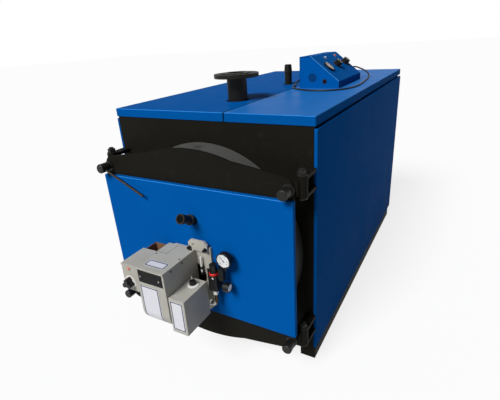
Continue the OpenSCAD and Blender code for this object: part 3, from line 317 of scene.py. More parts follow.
def refractory(name):
    """Cast refractory concrete: pale buff and chalky, with crushed grog in it and fire cracks."""
    tree, shader, place = start_finish(name, srgb("#B3A692"), 0.95, {"Specular IOR Level": 0.1})
    grog = add(tree, "ShaderNodeTexVoronoi", {"Vector": place, "Scale": per(9)})
    cast = noise(tree, place, 70, 9.0)
    cracks = add(tree, "ShaderNodeTexVoronoi", {"Vector": place, "Scale": per(140)}, feature="DISTANCE_TO_EDGE")
    tint = blend(tree, cast, srgb("#8C7E6B"), srgb("#CFC4B2"))
    specks = ramp(tree, grog.outputs[0], (0.1, 0.35), (0.4, 0.0))
    grained = blend(tree, specks, tint, srgb("#7A6A57"))
    open_crack = ramp(tree, cracks.outputs[0], (0.0, 0.012))
    cracked = blend(tree, open_crack, srgb("#4A3F33"), grained)
    skin = bump(tree, grog.outputs[0], 0.4, 1.2)
    feed(tree, shader, {"Base Color": cracked, "Normal": skin})


def ceramic_rope(name):
    """Braided ceramic rope, pressed flat: crossing strands about 6 mm wide, off-white and sooty."""
    tree, shader, place = start_finish(name, srgb("#CFC9BC"), 0.95, {"Specular IOR Level": 0.1})
    strands = add(tree, "ShaderNodeTexWave", {"Vector": place, "Scale": per(6) / 20, "Distortion": 3.0,
                                              "Detail": 2.0}, bands_direction="DIAGONAL")
    soot = noise(tree, place, 80, 6.0)
    tint = blend(tree, soot, srgb("#8F887B"), srgb("#DDD8CC"))
    skin = bump(tree, strands.outputs[1], 0.7, 1.5)
    feed(tree, shader, {"Base Color": tint, "Normal": skin})


def textured_paint(name, tone, grit):
    """Fine textured paint sprayed on steel housings: small soft grains, a dull sheen and grimy patches."""
    tree, shader, place = start_finish(name, tone, 0.5, {"Specular IOR Level": 0.35})
    grains = noise(tree, place, grit, 2.0)
    grime = noise(tree, place, 55, 8.0, 0.6)
    tint = blend(tree, grime, shade(tone, 0.8), shade(tone, 1.16))
    dull = ramp(tree, grime, levels=(0.38, 0.62))
    skin = bump(tree, grains, 0.3, 0.35)
    feed(tree, shader, {"Base Color": tint, "Roughness": dull, "Normal": skin})


def metal(name, tone, roughness, grain_mm, stretch):
    """Bare or plated metal: drawn or turned lines about a grain wide, with handling marks."""
    tree, shader, place = start_finish(name, tone, roughness, {"Metallic": 1.0})
    along = add(tree, "ShaderNodeMapping", {"Vector": place, "Scale": stretch})
    lines = noise(tree, along.outputs[0], grain_mm, 4.0)
    marks = noise(tree, place, 14, 6.0)
    tint = blend(tree, marks, shade(tone, 0.75), shade(tone, 1.15))
    dull = ramp(tree, lines, levels=(roughness - 0.12, roughness + 0.18))
    feed(tree, shader, {"Base Color": tint, "Roughness": dull})


def moulded_plastic(name, tone, roughness, specular=0.5):
    """Moulded plastic or rubber: even, with a fine eroded grain and finger-dulled patches."""
    tree, shader, place = start_finish(name, tone, roughness, {"Specular IOR Level": specular})
    grain = noise(tree, place, 1.6, 3.0)
    touch = noise(tree, place, 22, 5.0)
    tint = blend(tree, touch, shade(tone, 0.85), shade(tone, 1.2))
    dull = ramp(tree, touch, levels=(roughness - 0.06, roughness + 0.12))
    skin = bump(tree, grain, 0.12, 0.15)
    feed(tree, shader, {"Base Color": tint, "Roughness": dull, "Normal": skin})


def printed_film(name, tone):
    """Printed polyester film or dial enamel: smooth, a little darker where it is rubbed."""
    tree, shader, place = start_finish(name, tone, 0.4)
    rubbed = noise(tree, place, 18, 7.0)
    tint = blend(tree, rubbed, shade(tone, 0.9), shade(tone, 1.06))
    feed(tree, shader, {"Base Color": tint})


def clear_cast(name, tone, roughness, ior):
    """Clear glass: smooth, with a little haze from cleaning."""
    tree, shader, place = start_finish(name, tone, roughness, {"Transmission Weight": 1.0, "IOR": ior})
    haze = noise(tree, place, 12, 5.0)
    dull = ramp(tree, haze, levels=(roughness, roughness + 0.12))
    feed(tree, shader, {"Roughness": dull})


class BOILER_OT_finishes(bpy.types.Operator):
    """Make every finish of the boiler"""
    bl_idname = "boiler.finishes"
    bl_label = "Finishes"

    def execute(self, context):
        tones = context.scene.boiler_colours
        powder_coat("jacket powder coat", tones.jacket, 0.003, 0.5)
        powder_coat("left lid powder coat", tones.left_lid, 0.0012, 0.42)
        # The right lid's top is a lighter copy of the lid's blue: painted reflection
        powder_coat("right lid powder coat with painted reflection", tones.right_lid, 0.006, 0.34)
        powder_coat("door powder coat", tones.door, 0.01, 0.45)
        powder_coat("console powder coat", tones.console, 0.0012, 0.42)
        powder_coat("dark blue plug paint", tones.plug, 0.01, 0.5)
        # Painted highlight along the console's near edge
        powder_coat("console edge highlight paint", tones.edge, 0.05, 0.4)
        # Painted highlight along the front folds of lids and cover
        powder_coat("sheet fold highlight paint", tones.fold, 0.05, 0.4)
        stove_enamel("black stove enamel", tones.enamel, 0.05, 0.58)
        stove_enamel("black hinge enamel", shade(tones.enamel, 0.9), 0.3, 0.42)
        stove_enamel("black pipe lacquer", tones.enamel, 0.16, 0.42)
        heat_paint("heat-resistant drum paint", tones.drum)
        boiler_plate("primed boiler plate", srgb("#35383B"), 0.2)
        boiler_plate("scaled furnace plate", srgb("#4A4540"), 0.6)
        refractory("cast refractory")
        ceramic_rope("braided ceramic rope")
        textured_paint("pebble-grey textured paint", tones.burner, 2.4)
        textured_paint("brown primer", srgb("#7C5B43"), 3.0)
        metal("zinc-plated steel", srgb("#B9B8B0"), 0.38, 1.5, (1.0, 1.0, 1.0))
        metal("bare drawn steel", srgb("#37322D"), 0.5, 2.0, (0.15, 1.0, 1.0))
        metal("heat-tinted steel", srgb("#8A7663"), 0.45, 4.0, (1.0, 0.2, 1.0))
        metal("tarnished brass", srgb("#4A4034"), 0.45, 1.2, (1.0, 1.0, 0.2))
        moulded_plastic("black phenolic", tones.plastic, 0.42, 0.3)
        moulded_plastic("black nylon", tones.plastic, 0.55, 0.3)
        moulded_plastic("black acrylic window", srgb("#08090B"), 0.22, 0.12)
        moulded_plastic("black PVC sheath", srgb("#141312"), 0.5)
        moulded_plastic("red locking ring", tones.red, 0.35)
        moulded_plastic("white nylon", srgb("#DAD9D4"), 0.4)
        moulded_plastic("brown rubber", srgb("#2B1E17"), 0.7, 0.1)
        # Flat black for seam lines; below the lids' seam it is a painted shadow
        moulded_plastic("dark seam", srgb("#0A0A0A"), 0.9, 0.1)
        moulded_plastic("amber lamp lens", srgb("#E8551C"), 0.15)
        moulded_plastic("red lamp lens", srgb("#A8462C"), 0.2)
        moulded_plastic("pale lamp lens", srgb("#7F93B8"), 0.2)
        printed_film("bare plate film", tones.plate)
        printed_film("plate border ink", tones.border)
        printed_film("dial enamel", srgb("#E9ECEE"))
        printed_film("black dial enamel", srgb("#1E1B19"))
        printed_film("dial ink", srgb("#17181A"))
        printed_film("pointer red", srgb("#B3211C"))
        clear_cast("dial glass", srgb("#FFFFFF"), 0.0, 1.1)
        return {"FINISHED"}


# Shapes: each returns a mesh of its own that merge() puts into a piece


def polar(radius, turn):
    """X and Y of the point at a radius and a turn."""
    return radius * math.cos(turn), radius * math.sin(turn)


def turned(profile, steps=48):
    """Turns (radius, height) points about Z; a profile that starts and ends at radius 0 is closed."""
    bm = bmesh.new()
    rings = []
    for radius, height in profile:
        if radius < 1e-7:
            rings.append([bm.verts.new((0, 0, height))])
        else:
            rings.append([bm.verts.new((*polar(radius, math.tau * i / steps), height)) for i in range(steps)])
    for low, high in zip(rings, rings[1:]):
        if len(low) == 1 and len(high) == 1:
            continue
        for i in range(steps):
            k = (i + 1) % steps
            ring = [low[i % len(low)], low[k % len(low)], high[k % len(high)], high[i % len(high)]]
            bm.faces.new(list(dict.fromkeys(ring)))
    bmesh.ops.recalc_face_normals(bm, faces=bm.faces)
    return bm


def turned_mm(profile, steps):
    """Turns (radius, height) points given in millimetres."""
    return turned([(radius * MM, height * MM) for radius, height in profile], steps)


def disc(radius, thickness, edge=0.0, steps=48):
    """Round plate on Z = 0 with a bevelled upper edge."""
    return turned([(0, 0), (radius, 0), (radius, thickness - edge), (radius - edge, thickness), (0, thickness)],
                  steps)


def ring(inner, outer, thickness, edge=0.0, steps=48):
    """Flat ring on Z = 0 with bevelled upper edges."""
    return turned([(inner, thickness - edge), (inner, 0), (outer, 0), (outer, thickness - edge),
                   (outer - edge, thickness), (inner + edge, thickness), (inner, thickness - edge)], steps)


def extruded(outline, depth, edge=0.0):
    """Extrudes an outline in X and Y along Z, with its edges bevelled."""
    bm = bmesh.new()
    foot = [bm.verts.new((x, y, 0)) for x, y in outline]
    head = [bm.verts.new((x, y, depth)) for x, y in outline]
    bm.faces.new(list(reversed(foot)))
    bm.faces.new(head)
    for i in range(len(outline)):
        k = (i + 1) % len(outline)
        bm.faces.new([foot[i], foot[k], head[k], head[i]])
    bmesh.ops.recalc_face_normals(bm, faces=bm.faces)
    if edge > 0:
        soften(bm, edge, 2)
    return bm


def slab(low, high, edge=0.0):
    """Box between two corners with softened edges."""
    (x0, y0, z0), (x1, y1, z1) = low, high
    bm = extruded([(x0, y0), (x1, y0), (x1, y1), (x0, y1)], z1 - z0, edge)
    bmesh.ops.translate(bm, verts=bm.verts, vec=(0, 0, z0))
    return bm


def rounded(width, height, corner, steps=6):
    """Outline of a rectangle with round corners, about its centre."""
    centres = [(1, 1, 0), (-1, 1, 90), (-1, -1, 180), (1, -1, 270)]
    return [(sx * (width / 2 - corner) + corner * math.cos(math.radians(turn + 90 * i / steps)),
             sy * (height / 2 - corner) + corner * math.sin(math.radians(turn + 90 * i / steps)))
            for sx, sy, turn in centres for i in range(steps + 1)]


def star(radius, depth, ribs, per_rib=6):
    """Round outline with ribs whose grooves are that deep."""
    points = ribs * per_rib
    grooves = [depth * (0.5 - 0.5 * math.cos(math.tau * i / per_rib)) for i in range(points)]
    return [polar(radius - groove, math.tau * i / points) for i, groove in enumerate(grooves)]


def swept(points, radius_at, sides=12, closed=False):
    """Tube along points; radius_at gives its radius at each point's number."""
    bm = bmesh.new()
    count = len(points)
    rings = []
    across = None
    for i, point in enumerate(points):
        after = points[(i + 1) % count] if closed else points[min(i + 1, count - 1)]
        before = points[i - 1] if closed else points[max(i - 1, 0)]
        along = (after - before).normalized()
        if across is None:
            across = along.orthogonal()
        across = (across - along * across.dot(along)).normalized()
        up = along.cross(across)
        turns = [math.tau * j / sides for j in range(sides)]
        rings.append([bm.verts.new(point + radius_at(i) * (across * math.cos(turn) + up * math.sin(turn)))
                      for turn in turns])
    for i in range(count if closed else count - 1):
        here, there = rings[i], rings[(i + 1) % count]
        for j in range(sides):
            k = (j + 1) % sides
            bm.faces.new([here[j], here[k], there[k], there[j]])
    if not closed:
        bm.faces.new(list(reversed(rings[0])))
        bm.faces.new(rings[-1])
    bmesh.ops.recalc_face_normals(bm, faces=bm.faces)
    return bm


def weld_ring(radius, step, place, bead):
    """Rippled ring of weld metal in a place's X and Y; a step is about a third of a ripple."""
    count = max(24, int(math.tau * radius / step))
    points = [place @ Vector((*polar(radius, math.tau * i / count), 0)) for i in range(count)]

    def ripple(i):
        return bead * (1 + 0.16 * math.sin(math.tau * i / 3) + 0.08 * math.sin(i * 0.37))

    return swept(points, ripple, 8, True)


def hexagon(across, height):
    """Hexagon nut or bolt head on Z = 0, chamfered on top."""
    radius = across / math.sqrt(3)
    return extruded([polar(radius, math.radians(60 * i)) for i in range(6)], height, 0.06 * across)


def nut_on_stud(across, stud):
    """Washer, nut and stud end on Z = 0."""
    bm = disc(1.05 * across, 0.12 * across, 0.03 * across, 32)
    merge(bm, hexagon(across, 0.8 * across), Matrix.Translation((0, 0, 0.12 * across)))
    merge(bm, disc(stud, 1.2 * across, 0.15 * stud, 24))
    return bm


def slotted_screw(radius):
    """Round-headed screw on Z = 0 with a slot cut across its head."""
    bm = bmesh.new()
    for side in (-1, 1):
        half = turned([(0, 0), (radius, 0), (radius, 0.3 * radius), (0.8 * radius, 0.62 * radius),
                       (0.4 * radius, 0.75 * radius), (0, 0.78 * radius)], 24)
        geometry = list(half.verts) + list(half.edges) + list(half.faces)
        cut = bmesh.ops.bisect_plane(half, geom=geometry, plane_co=(0, side * 0.12 * radius, 0),
                                     plane_no=(0, -side, 0), clear_outer=True)
        rim = [e for e in cut["geom_cut"] if isinstance(e, bmesh.types.BMEdge)]
        bmesh.ops.contextual_create(half, geom=rim)
        merge(bm, half)
    merge(bm, disc(0.98 * radius, 0.3 * radius, 0, 24))
    return bm


def numeral(word, height):
    """Flat mesh of a plain number, in X and Y about its middle."""
    curve = bpy.data.curves.new("numeral", "FONT")
    curve.body = word
    curve.size = height
    curve.align_x = "CENTER"
    curve.align_y = "CENTER"
    holder = bpy.data.objects.new("numeral", curve)
    bpy.context.scene.collection.objects.link(holder)
    mesh = bpy.data.meshes.new_from_object(holder.evaluated_get(bpy.context.evaluated_depsgraph_get()))
    bm = bmesh.new()
    bm.from_mesh(mesh)
    bpy.data.objects.remove(holder)
    bpy.data.curves.remove(curve)
    bpy.data.meshes.remove(mesh)
    return bm


def bevel(bm, edges, radius, segments):
    """Rounds the given edges."""
    bmesh.ops.bevel(bm, geom=edges, offset=radius, segments=segments, profile=0.5, affect="EDGES",
                    clamp_overlap=True)


def soften(bm, radius, segments):
    """Rounds every edge that turns sharply."""
    sharp = [e for e in bm.edges if len(e.link_faces) == 2 and e.calc_face_angle(0) > math.radians(26)]
    bevel(bm, sharp, radius, segments)


def add_ticks(target, inner, outer, thickness, lift=0.0, look=0):
    """Puts the ticks of a scale round Z into a mesh, all in millimetres."""
    for turn in TICK_TURNS:
        tick = slab((inner * MM, -0.5 * MM, 0), (outer * MM, 0.5 * MM, thickness * MM))
        raised = Matrix.Translation((0, 0, lift * MM))
        merge(target, tick, raised @ Matrix.Rotation(math.radians(turn), 4, "Z"), look)


def merge(target, shape, place=None, look=0):
    """Moves a shape into another mesh, with its finish's number."""
    for face in shape.faces:
        face.material_index = look
    if place is not None:
        bmesh.ops.transform(shape, matrix=place, verts=shape.verts)
    carrier = bpy.data.meshes.new("carrier")
    shape.to_mesh(carrier)
    shape.free()
    target.from_mesh(carrier)
    bpy.data.meshes.remove(carrier)


# Pieces


def carve(obj, kind, **settings):
    """Adds a modifier to a piece and makes its result the piece's own mesh."""
    modifier = obj.modifiers.new("change", kind)
    for key, value in settings.items():
        setattr(modifier, key, value)
    graph = bpy.context.evaluated_depsgraph_get()
    mesh = bpy.data.meshes.new_from_object(obj.evaluated_get(graph))
    before = obj.data
    obj.modifiers.clear()
    obj.data = mesh
    bpy.data.meshes.remove(before)


def cut_away(obj, shape, place):
    """Cuts a closed shape out of a piece."""
    cutter_mesh = bpy.data.meshes.new("cutter")
    bmesh.ops.transform(shape, matrix=place, verts=shape.verts)
    shape.to_mesh(cutter_mesh)
    shape.free()
    cutter = bpy.data.objects.new("cutter", cutter_mesh)
    bpy.context.scene.collection.objects.link(cutter)
    carve(obj, "BOOLEAN", object=cutter, operation="DIFFERENCE", solver="EXACT")
    bpy.data.objects.remove(cutter)
    bpy.data.meshes.remove(cutter_mesh)


def piece(name, bm, looks, body, hides=(), place=None):
    """Makes an object of a mesh that rides on a body, takes its finishes and hides the CAD nodes it stands for.
    """
    mesh = bpy.data.meshes.new(name)
    if place is not None:
        bmesh.ops.transform(bm, matrix=place, verts=bm.verts)
    bm.to_mesh(mesh)
    bm.free()
    for look in looks:
        mesh.materials.append(finish(look))
    obj = bpy.data.objects.new(name, mesh)
    bpy.context.scene.collection.objects.link(obj)
    smooth(obj)
    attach(obj, body)
    if hides:
        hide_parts(*hides)
    return obj


def smooth(obj, angle=38):
    """Smooth shading that keeps flat faces flat and sharp turns sharp."""
    obj.data.shade_smooth()
    obj.data.set_sharp_from_angle(angle=math.radians(angle))
    carve(obj, "WEIGHTED_NORMAL", keep_sharp=True)


def softened(node, radius, looks, look_of=None, segments=2):
    """Copy of a CAD node with its edges rounded; look_of picks a finish's number from a face's middle."""
    source = frame["nodes"][node]
    bm = bmesh.new()
    bm.from_mesh(source.data)
    bmesh.ops.remove_doubles(bm, verts=bm.verts, dist=0.002 * MM)
    bmesh.ops.dissolve_limit(bm, angle_limit=math.radians(0.3), verts=bm.verts, edges=bm.edges)
    soften(bm, radius, segments)
    for face in bm.faces:
        face.material_index = look_of(face.calc_center_median()) if look_of else 0
    return piece(node + "_dressed", bm, looks, source["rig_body"], [node])


def dress(node, look):
    """Gives a CAD node a better finish."""
    mesh = frame["nodes"][node].data
    mesh.materials.clear()
    mesh.materials.append(finish(look))


def axes(x, y, z, origin):
    """Place with the given X, Y and Z directions."""
    rows = Matrix((x, y, z)).transposed().to_4x4()
    rows.translation = origin
    return rows


def facing_front(origin):
    """Place whose Z looks out of the front and whose Y is up."""
    return axes((1, 0, 0), (0, 0, 1), (0, -1, 0), origin)


def facing_right(origin):
    """Place whose Z looks to the right and whose Y is up."""
    return axes((0, 1, 0), (0, 0, 1), (1, 0, 0), origin)


def facing_left(origin):
    """Place whose Z looks to the left and whose Y is up."""
    return axes((0, -1, 0), (0, 0, 1), (-1, 0, 0), origin)


def facing_back(origin):
    """Place whose Z looks out of the back and whose Y is up."""
    return axes((-1, 0, 0), (0, 0, 1), (0, 1, 0), origin)


def find_joint(key, value):
    """First joint of the frame with that value."""
    return next(joint for joint in frame["joints"] if joint[key] == value)


def folded_pan(name, node, place, width, height, depth, looks, loose_side=None, holes=()):
    """Folded sheet pan whose face lies in a place's X and Y, with skirts behind it. The loose side, if any,
    has a shallower fold of its own that isn't joined at the corners. Holes are (shape, place) pairs. A second
    look, if any, is for the skirts and a third is a painted highlight on a fold that looks up and to the front."""
    sizes = bpy.context.scene.boiler_sizes
    corners = [Vector((0, 0, 0)), Vector((width, 0, 0)), Vector((width, height, 0)), Vector((0, height, 0))]
    bm = bmesh.new()
    low = [bm.verts.new(c - Vector((0, 0, depth))) for c in corners]
    top = [bm.verts.new(c) for c in corners]
    outline = []
    for side in range(4):
        outline.append(top[side])
        k = (side + 1) % 4
        if side != loose_side:
            bm.faces.new([top[side], low[side], low[k], top[k]])
            continue
        inset = (corners[k] - corners[side]).normalized() * (sizes.sheet + sizes.fold)
        ends = [bm.verts.new(corners[side] + inset), bm.verts.new(corners[k] - inset)]
        feet = [bm.verts.new(v.co - Vector((0, 0, sizes.seam_fold))) for v in ends]
        bm.faces.new([ends[0], feet[0], feet[1], ends[1]])
        outline += ends
    bm.faces.new(outline)
    folds = [e for e in bm.edges if len(e.link_faces) == 2]
    bevel(bm, folds, sizes.fold, 4)
    body = frame["nodes"][node]["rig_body"]
    obj = piece(name, bm, looks, body, [node], place)
    carve(obj, "SOLIDIFY", thickness=sizes.sheet, offset=-1, use_even_offset=True)
    for shape, where in holes:
        cut_away(obj, shape, where)
    smooth(obj)
    if len(looks) > 1:
        out = place.to_3x3() @ Vector((0, 0, 1))
        # Folds that look up and to the front get the lighter finish: a painted highlight
        rubbed = Vector((0, -1, 1)).normalized()
        for face in obj.data.polygons:
            lean = face.normal.dot(out)
            skirt = 1 if abs(lean) < 0.2 else 0
            face.material_index = 2 if 0.2 < lean < 0.98 and face.normal.dot(rubbed) > 0.8 else skirt
    return obj


def bare_plate(width, height, corner, border_at, border):
    """Bare printed plate on Z = 0: film with a dark border line, finishes 0 and 1."""
    thickness = 0.4 * MM
    bm = extruded(rounded(width, height, corner), thickness)
    outer = rounded(width - 2 * border_at, height - 2 * border_at, corner)
    inner = rounded(width - 2 * (border_at + border), height - 2 * (border_at + border), 0.5 * corner)
    line = bmesh.new()
    height_of_ink = thickness + 0.08 * MM
    out_ring = [line.verts.new((x, y, height_of_ink)) for x, y in outer]
    in_ring = [line.verts.new((x, y, height_of_ink)) for x, y in inner]
    for i in range(len(out_ring)):
        k = (i + 1) % len(out_ring)
        line.faces.new([out_ring[i], out_ring[k], in_ring[k], in_ring[i]])
    merge(bm, line, look=1)
    return bm


def dial(radius, rim, depth, marks, numbers, needle, span=270):
    """Dial instrument on Z = 0 with finishes rim 0, enamel 1, ink 2, needle 3 and glass 4. Needle is the share
    of the span it points to, and numbers are drawn evenly along the span."""
    face_r = radius - rim
    face_z = depth - 3.2 * MM
    bm = turned([(0, 0), (0.94 * radius, 0), (radius, 0.06 * radius), (radius, depth - 1.2 * MM),
                 (radius - 1.2 * MM, depth), (face_r, depth), (face_r, face_z), (0, face_z)], 64)
    merge(bm, disc(face_r - 0.1 * MM, 0.3 * MM, 0, 64), Matrix.Translation((0, 0, face_z)), 1)
    ink_z = face_z + 0.36 * MM

    def heading(share):
        return math.radians(90 + span / 2 - span * share)

    for i in range(marks + 1):
        long = i * (len(numbers) - 1) % marks == 0
        size = (0.16 if long else 0.09) * face_r
        tick = slab((0.9 * face_r - size, -0.012 * face_r, 0), (0.9 * face_r, 0.012 * face_r, 0.06 * MM))
        merge(bm, tick, Matrix.Translation((0, 0, ink_z)) @ Matrix.Rotation(heading(i / marks), 4, "Z"), 2)
    for i, word in enumerate(numbers):
        turn = heading(i / (len(numbers) - 1))
        where = Matrix.Translation((*polar(0.58 * face_r, turn), ink_z))
        merge(bm, numeral(word, 0.24 * face_r), where, 2)
    tail, tip = (-0.25 * face_r, 0.07 * face_r), (0.82 * face_r, 0.025 * face_r)
    hand = extruded([(tail[0], -tail[1]), (tip[0], -tip[1]), tip, tail], 0.25 * MM)
    merge(bm, hand, Matrix.Translation((0, 0, ink_z + 0.4 * MM)) @ Matrix.Rotation(heading(needle), 4, "Z"), 3)
    merge(bm, disc(0.1 * face_r, 1.0 * MM, 0.2 * MM, 24), Matrix.Translation((0, 0, ink_z)), 3)
    glass = disc(face_r - 0.15 * MM, 0.8 * MM, 0.1 * MM, 64)
    merge(bm, glass, Matrix.Translation((0, 0, depth - 1.0 * MM)), 4)
    return bm


class BOILER_OT_camera(bpy.types.Operator):
    """Stand the camera where the picture was taken"""
    bl_idname = "boiler.camera"
    bl_label = "Camera"

    def execute(self, context):
        azimuth, elevation, roll = (math.radians(a) for a in CAMERA_ANGLES)
        back = Vector((math.sin(azimuth) * math.cos(elevation), -math.cos(azimuth) * math.cos(elevation),
                       math.sin(elevation)))
        right = Vector((0, 0, 1)).cross(back).normalized()
        up = back.cross(right)
        lens = bpy.data.cameras.new("camera")
        lens.lens = CAMERA_LENS
        lens.sensor_width = CAMERA_SENSOR
        lens.sensor_fit = "HORIZONTAL"
        lens.clip_end = CAMERA_REACH
        camera = bpy.data.objects.new("camera", lens)
        camera.matrix_world = axes(right * math.cos(roll) + up * math.sin(roll),
                                   up * math.cos(roll) - right * math.sin(roll), back, CAMERA_PLACE)
        context.scene.collection.objects.link(camera)
        context.scene.camera = camera
        return {"FINISHED"}


# Route of the console's cable on the lid: (across, depth) in millimetres, lying on the lid
CABLE_ON_LID = [(385, 1152), (391, 1105), (398, 1040), (407, 955), (415, 875), (419, 800), (416, 732),
                (403, 673), (380, 628), (342, 594), (291, 575), (240, 580), (190, 602), (146, 632),
                (112, 670), (93, 715), (79, 762), (66, 800)]
# Stretches where it comes down from its far gland and climbs to its back gland, with heights over the lid
CABLE_DOWN = [(293, 1187, 61), (310, 1204, 54), (335, 1211, 43), (359, 1204, 30), (376, 1186, 17)]
CABLE_UP = [(60, 834, 9), (60, 864, 18), (70, 889, 27)]
# Straight leads out of the far gland and into the back one
CABLE_OUT, CABLE_IN = (0, 14, 28), (24, 12, 0)


def smooth_route(points, per_stretch):
    """Points on one smooth curve through a route."""
    last = len(points) - 1
    curve = []
    for i in range(last):
        a, b, c, d = (points[max(0, min(last, i + k))] for k in (-1, 0, 1, 2))
        for step in range(per_stretch):
            t = step / per_stretch
            curve.append(0.5 * (2 * b + (c - a) * t + (2 * a - 5 * b + 4 * c - d) * t * t
                                + (3 * b - a - 3 * c + d) * t ** 3))
    return curve + [points[last]]


class BOILER_OT_cable(bpy.types.Operator):
    """Lay the console's cable on the lid, from its far gland to its back gland"""
    bl_idname = "boiler.cable"
    bl_label = "Console cable"

    def execute(self, context):
        sizes = context.scene.boiler_sizes
        lid_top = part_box("right_lid")[1].z / MM
        far = self.gland_end("far")
        near = self.gland_end("back")
        lie = lid_top + sizes.cable / MM / 2 + 0.3
        route = [far + Vector((0, lead * MM, 0)) for lead in CABLE_OUT]
        route += [at(x, y, lid_top + z) for x, y, z in CABLE_DOWN]
        route += [at(x, y, lie) for x, y in CABLE_ON_LID]
        route += [at(x, y, lid_top + z) for x, y, z in CABLE_UP]
        route += [near - Vector((lead * MM, 0, 0)) for lead in CABLE_IN]
        points = smooth_route(route, 6)
        curve = bpy.data.curves.new("console_cable_sheath", "CURVE")
        curve.dimensions = "3D"
        curve.bevel_depth = sizes.cable / 2
        curve.bevel_resolution = 5
        curve.use_fill_caps = True
        spline = curve.splines.new("POLY")
        spline.points.add(len(points) - 1)
        for knot, point in zip(spline.points, points):
            knot.co = (*point, 1.0)
        curve.materials.append(finish("black PVC sheath"))
        cable = bpy.data.objects.new("console_cable_sheath", curve)
        context.scene.collection.objects.link(cable)
        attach(cable, "boiler")
        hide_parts("console_cable")
        run = sum((b - a).length for a, b in zip(points, points[1:]))
        return {"FINISHED"}

    def gland_end(self, which):
        """Middle of a gland's free end, from the glands' solids."""
        verts = [v.co for v in frame["nodes"]["cable_glands"].data.vertices]
        if which == "far":
            end = max(v.y for v in verts)
            ring_of = [v for v in verts if v.y > end - 0.01 * MM]
        else:
            end = min(v.x for v in verts)
            ring_of = [v for v in verts if v.x < end + 0.01 * MM]
        low = [min(v[i] for v in ring_of) for i in range(3)]
        high = [max(v[i] for v in ring_of) for i in range(3)]
        return (Vector(low) + Vector(high)) / 2


class BOILER_OT_jacket(bpy.types.Operator):
    """Fold the two lids and the two side panels"""
    bl_idname = "boiler.jacket"
    bl_label = "Jacket"

    def execute(self, context):
        sizes = context.scene.boiler_sizes
        holes = []
        for node, radius in (("flow_pipe", sizes.pipe_hole), ("return_pipe", sizes.pipe_hole),
                             ("safety_socket", sizes.socket_hole)):
            low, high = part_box(node)
            where = Matrix.Translation((0, (low.y + high.y) / 2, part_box("left_lid")[1].z - 20 * MM))
            holes.append((disc(radius, 40 * MM, 0, 96), where))
        # The right lid's top takes the lighter coat, a painted reflection; its skirts take the left lid's coat
        left_coat, reflection_coat, rubbed = "left lid powder coat", "right lid powder coat with painted reflection", "sheet fold highlight paint"
        # Third look of each lid: painted highlight on its front fold
        lids = (("left_lid", 0, 1, [left_coat, left_coat, rubbed], holes),
                ("right_lid", sizes.seam_gap, 3, [reflection_coat, left_coat, rubbed], []))
        for node, gap, loose, looks, cuts in lids:
            low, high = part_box(node)
            folded_pan(node + "_sheet", node, Matrix.Translation((low.x + gap, low.y, high.z)),
                       high.x - low.x - sizes.seam_gap, high.y - low.y, high.z - low.z, looks,
                       loose, cuts)
        left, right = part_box("left_lid"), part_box("right_lid")
        # Black strip below the gap between the lids: a painted shadow in the seam
        seam_shadow_strip = slab((left[1].x - sizes.seam_gap, left[0].y + 2 * MM, left[1].z - 8 * MM),
                    (right[0].x + sizes.seam_gap, left[1].y - 2 * MM, left[1].z - 1 * MM))
        piece("lid_seam_painted_shadow", seam_shadow_strip, ["dark seam"], "boiler")
        (low, high), (left_low, left_high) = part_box("right_side_panel"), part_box("left_side_panel")
        size = high - low
        panels = (("right_side_panel", facing_right(Vector((high.x, low.y, low.z)))),
                  ("left_side_panel", facing_left(Vector((left_low.x, left_high.y, left_low.z)))))
        for node, place in panels:
            folded_pan(node + "_sheet", node, place, size.y, size.z, size.x, ["jacket powder coat"])
        return {"FINISHED"}


class BOILER_OT_base(bpy.types.Operator):
    """Finish the base channels, the end plates and the vessel behind them"""
    bl_idname = "boiler.base"
    bl_label = "Base and vessel"

    def execute(self, context):
        for node, edge in (("skids", 2), ("front_plate", 1), ("rear_plate", 1)):
            softened(node, edge * MM, ["black stove enamel"])
        dress("pressure_shell", "primed boiler plate")
        for node in ("tube_plate", "furnace_tube", "smoke_tubes"):
            dress(node, "scaled furnace plate")
        self.tube_welds()
        return {"FINISHED"}

    def tube_welds(self):
        """Weld rings of the smoke tubes and the furnace tube on the tube plate."""
        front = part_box("tube_plate")[0].y
        tube = bpy.context.scene.boiler_sizes.smoke_tube
        record = frame["record"]["physics"]["openings"]
        tubes = [o["box_m"] for o in record if o["name"].startswith("smoke_tube_")]
        bm = bmesh.new()
        for low, high in tubes:
            centre = Vector(((low[0] + high[0]) / 2, front - 0.5 * MM, (low[2] + high[2]) / 2))
            merge(bm, weld_ring(tube + 1 * MM, 1.6 * MM, facing_front(centre), 2.6 * MM))
        low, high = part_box("furnace_tube")
        centre = Vector((0, front - 0.5 * MM, (low.z + high.z) / 2))
        merge(bm, weld_ring((high.x - low.x) / 2 - 2 * MM, 2.4 * MM, facing_front(centre), 4 * MM))
        piece("tube_welds", bm, ["scaled furnace plate"], "boiler")


class BOILER_OT_flue(bpy.types.Operator):
    """Finish the smoke box and the flue spigot, and bolt the smoke box on"""
    bl_idname = "boiler.flue"
    bl_label = "Smoke box and flue"
    bolts = 16
    spigot_radius = 125 * MM

    def execute(self, context):
        softened("smoke_box", 1.5 * MM, ["black stove enamel"])
        softened("flue_spigot", 0.8 * MM, ["black stove enamel"])
        low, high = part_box("smoke_box")
        flange = facing_back(Vector((0, low.y + 8 * MM, ((low + high) / 2).z)))
        bolt_circle = (high.x - low.x) / 2 - 12 * MM
        nuts = bmesh.new()
        for i in range(self.bolts):
            spot = polar(bolt_circle, math.tau * (i + 0.5) / self.bolts)
            merge(nuts, nut_on_stud(17 * MM, 5 * MM), flange @ Matrix.Translation((*spot, 0)))
        piece("smoke_box_nuts", nuts, ["zinc-plated steel"], "boiler")
        low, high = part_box("flue_spigot")
        collar = facing_back(Vector((0, low.y + 6 * MM, (low.z + high.z) / 2)))
        bead = weld_ring(self.spigot_radius, 1.6 * MM, collar, 3 * MM)
        piece("flue_weld", bead, ["black stove enamel"], "boiler")
        return {"FINISHED"}


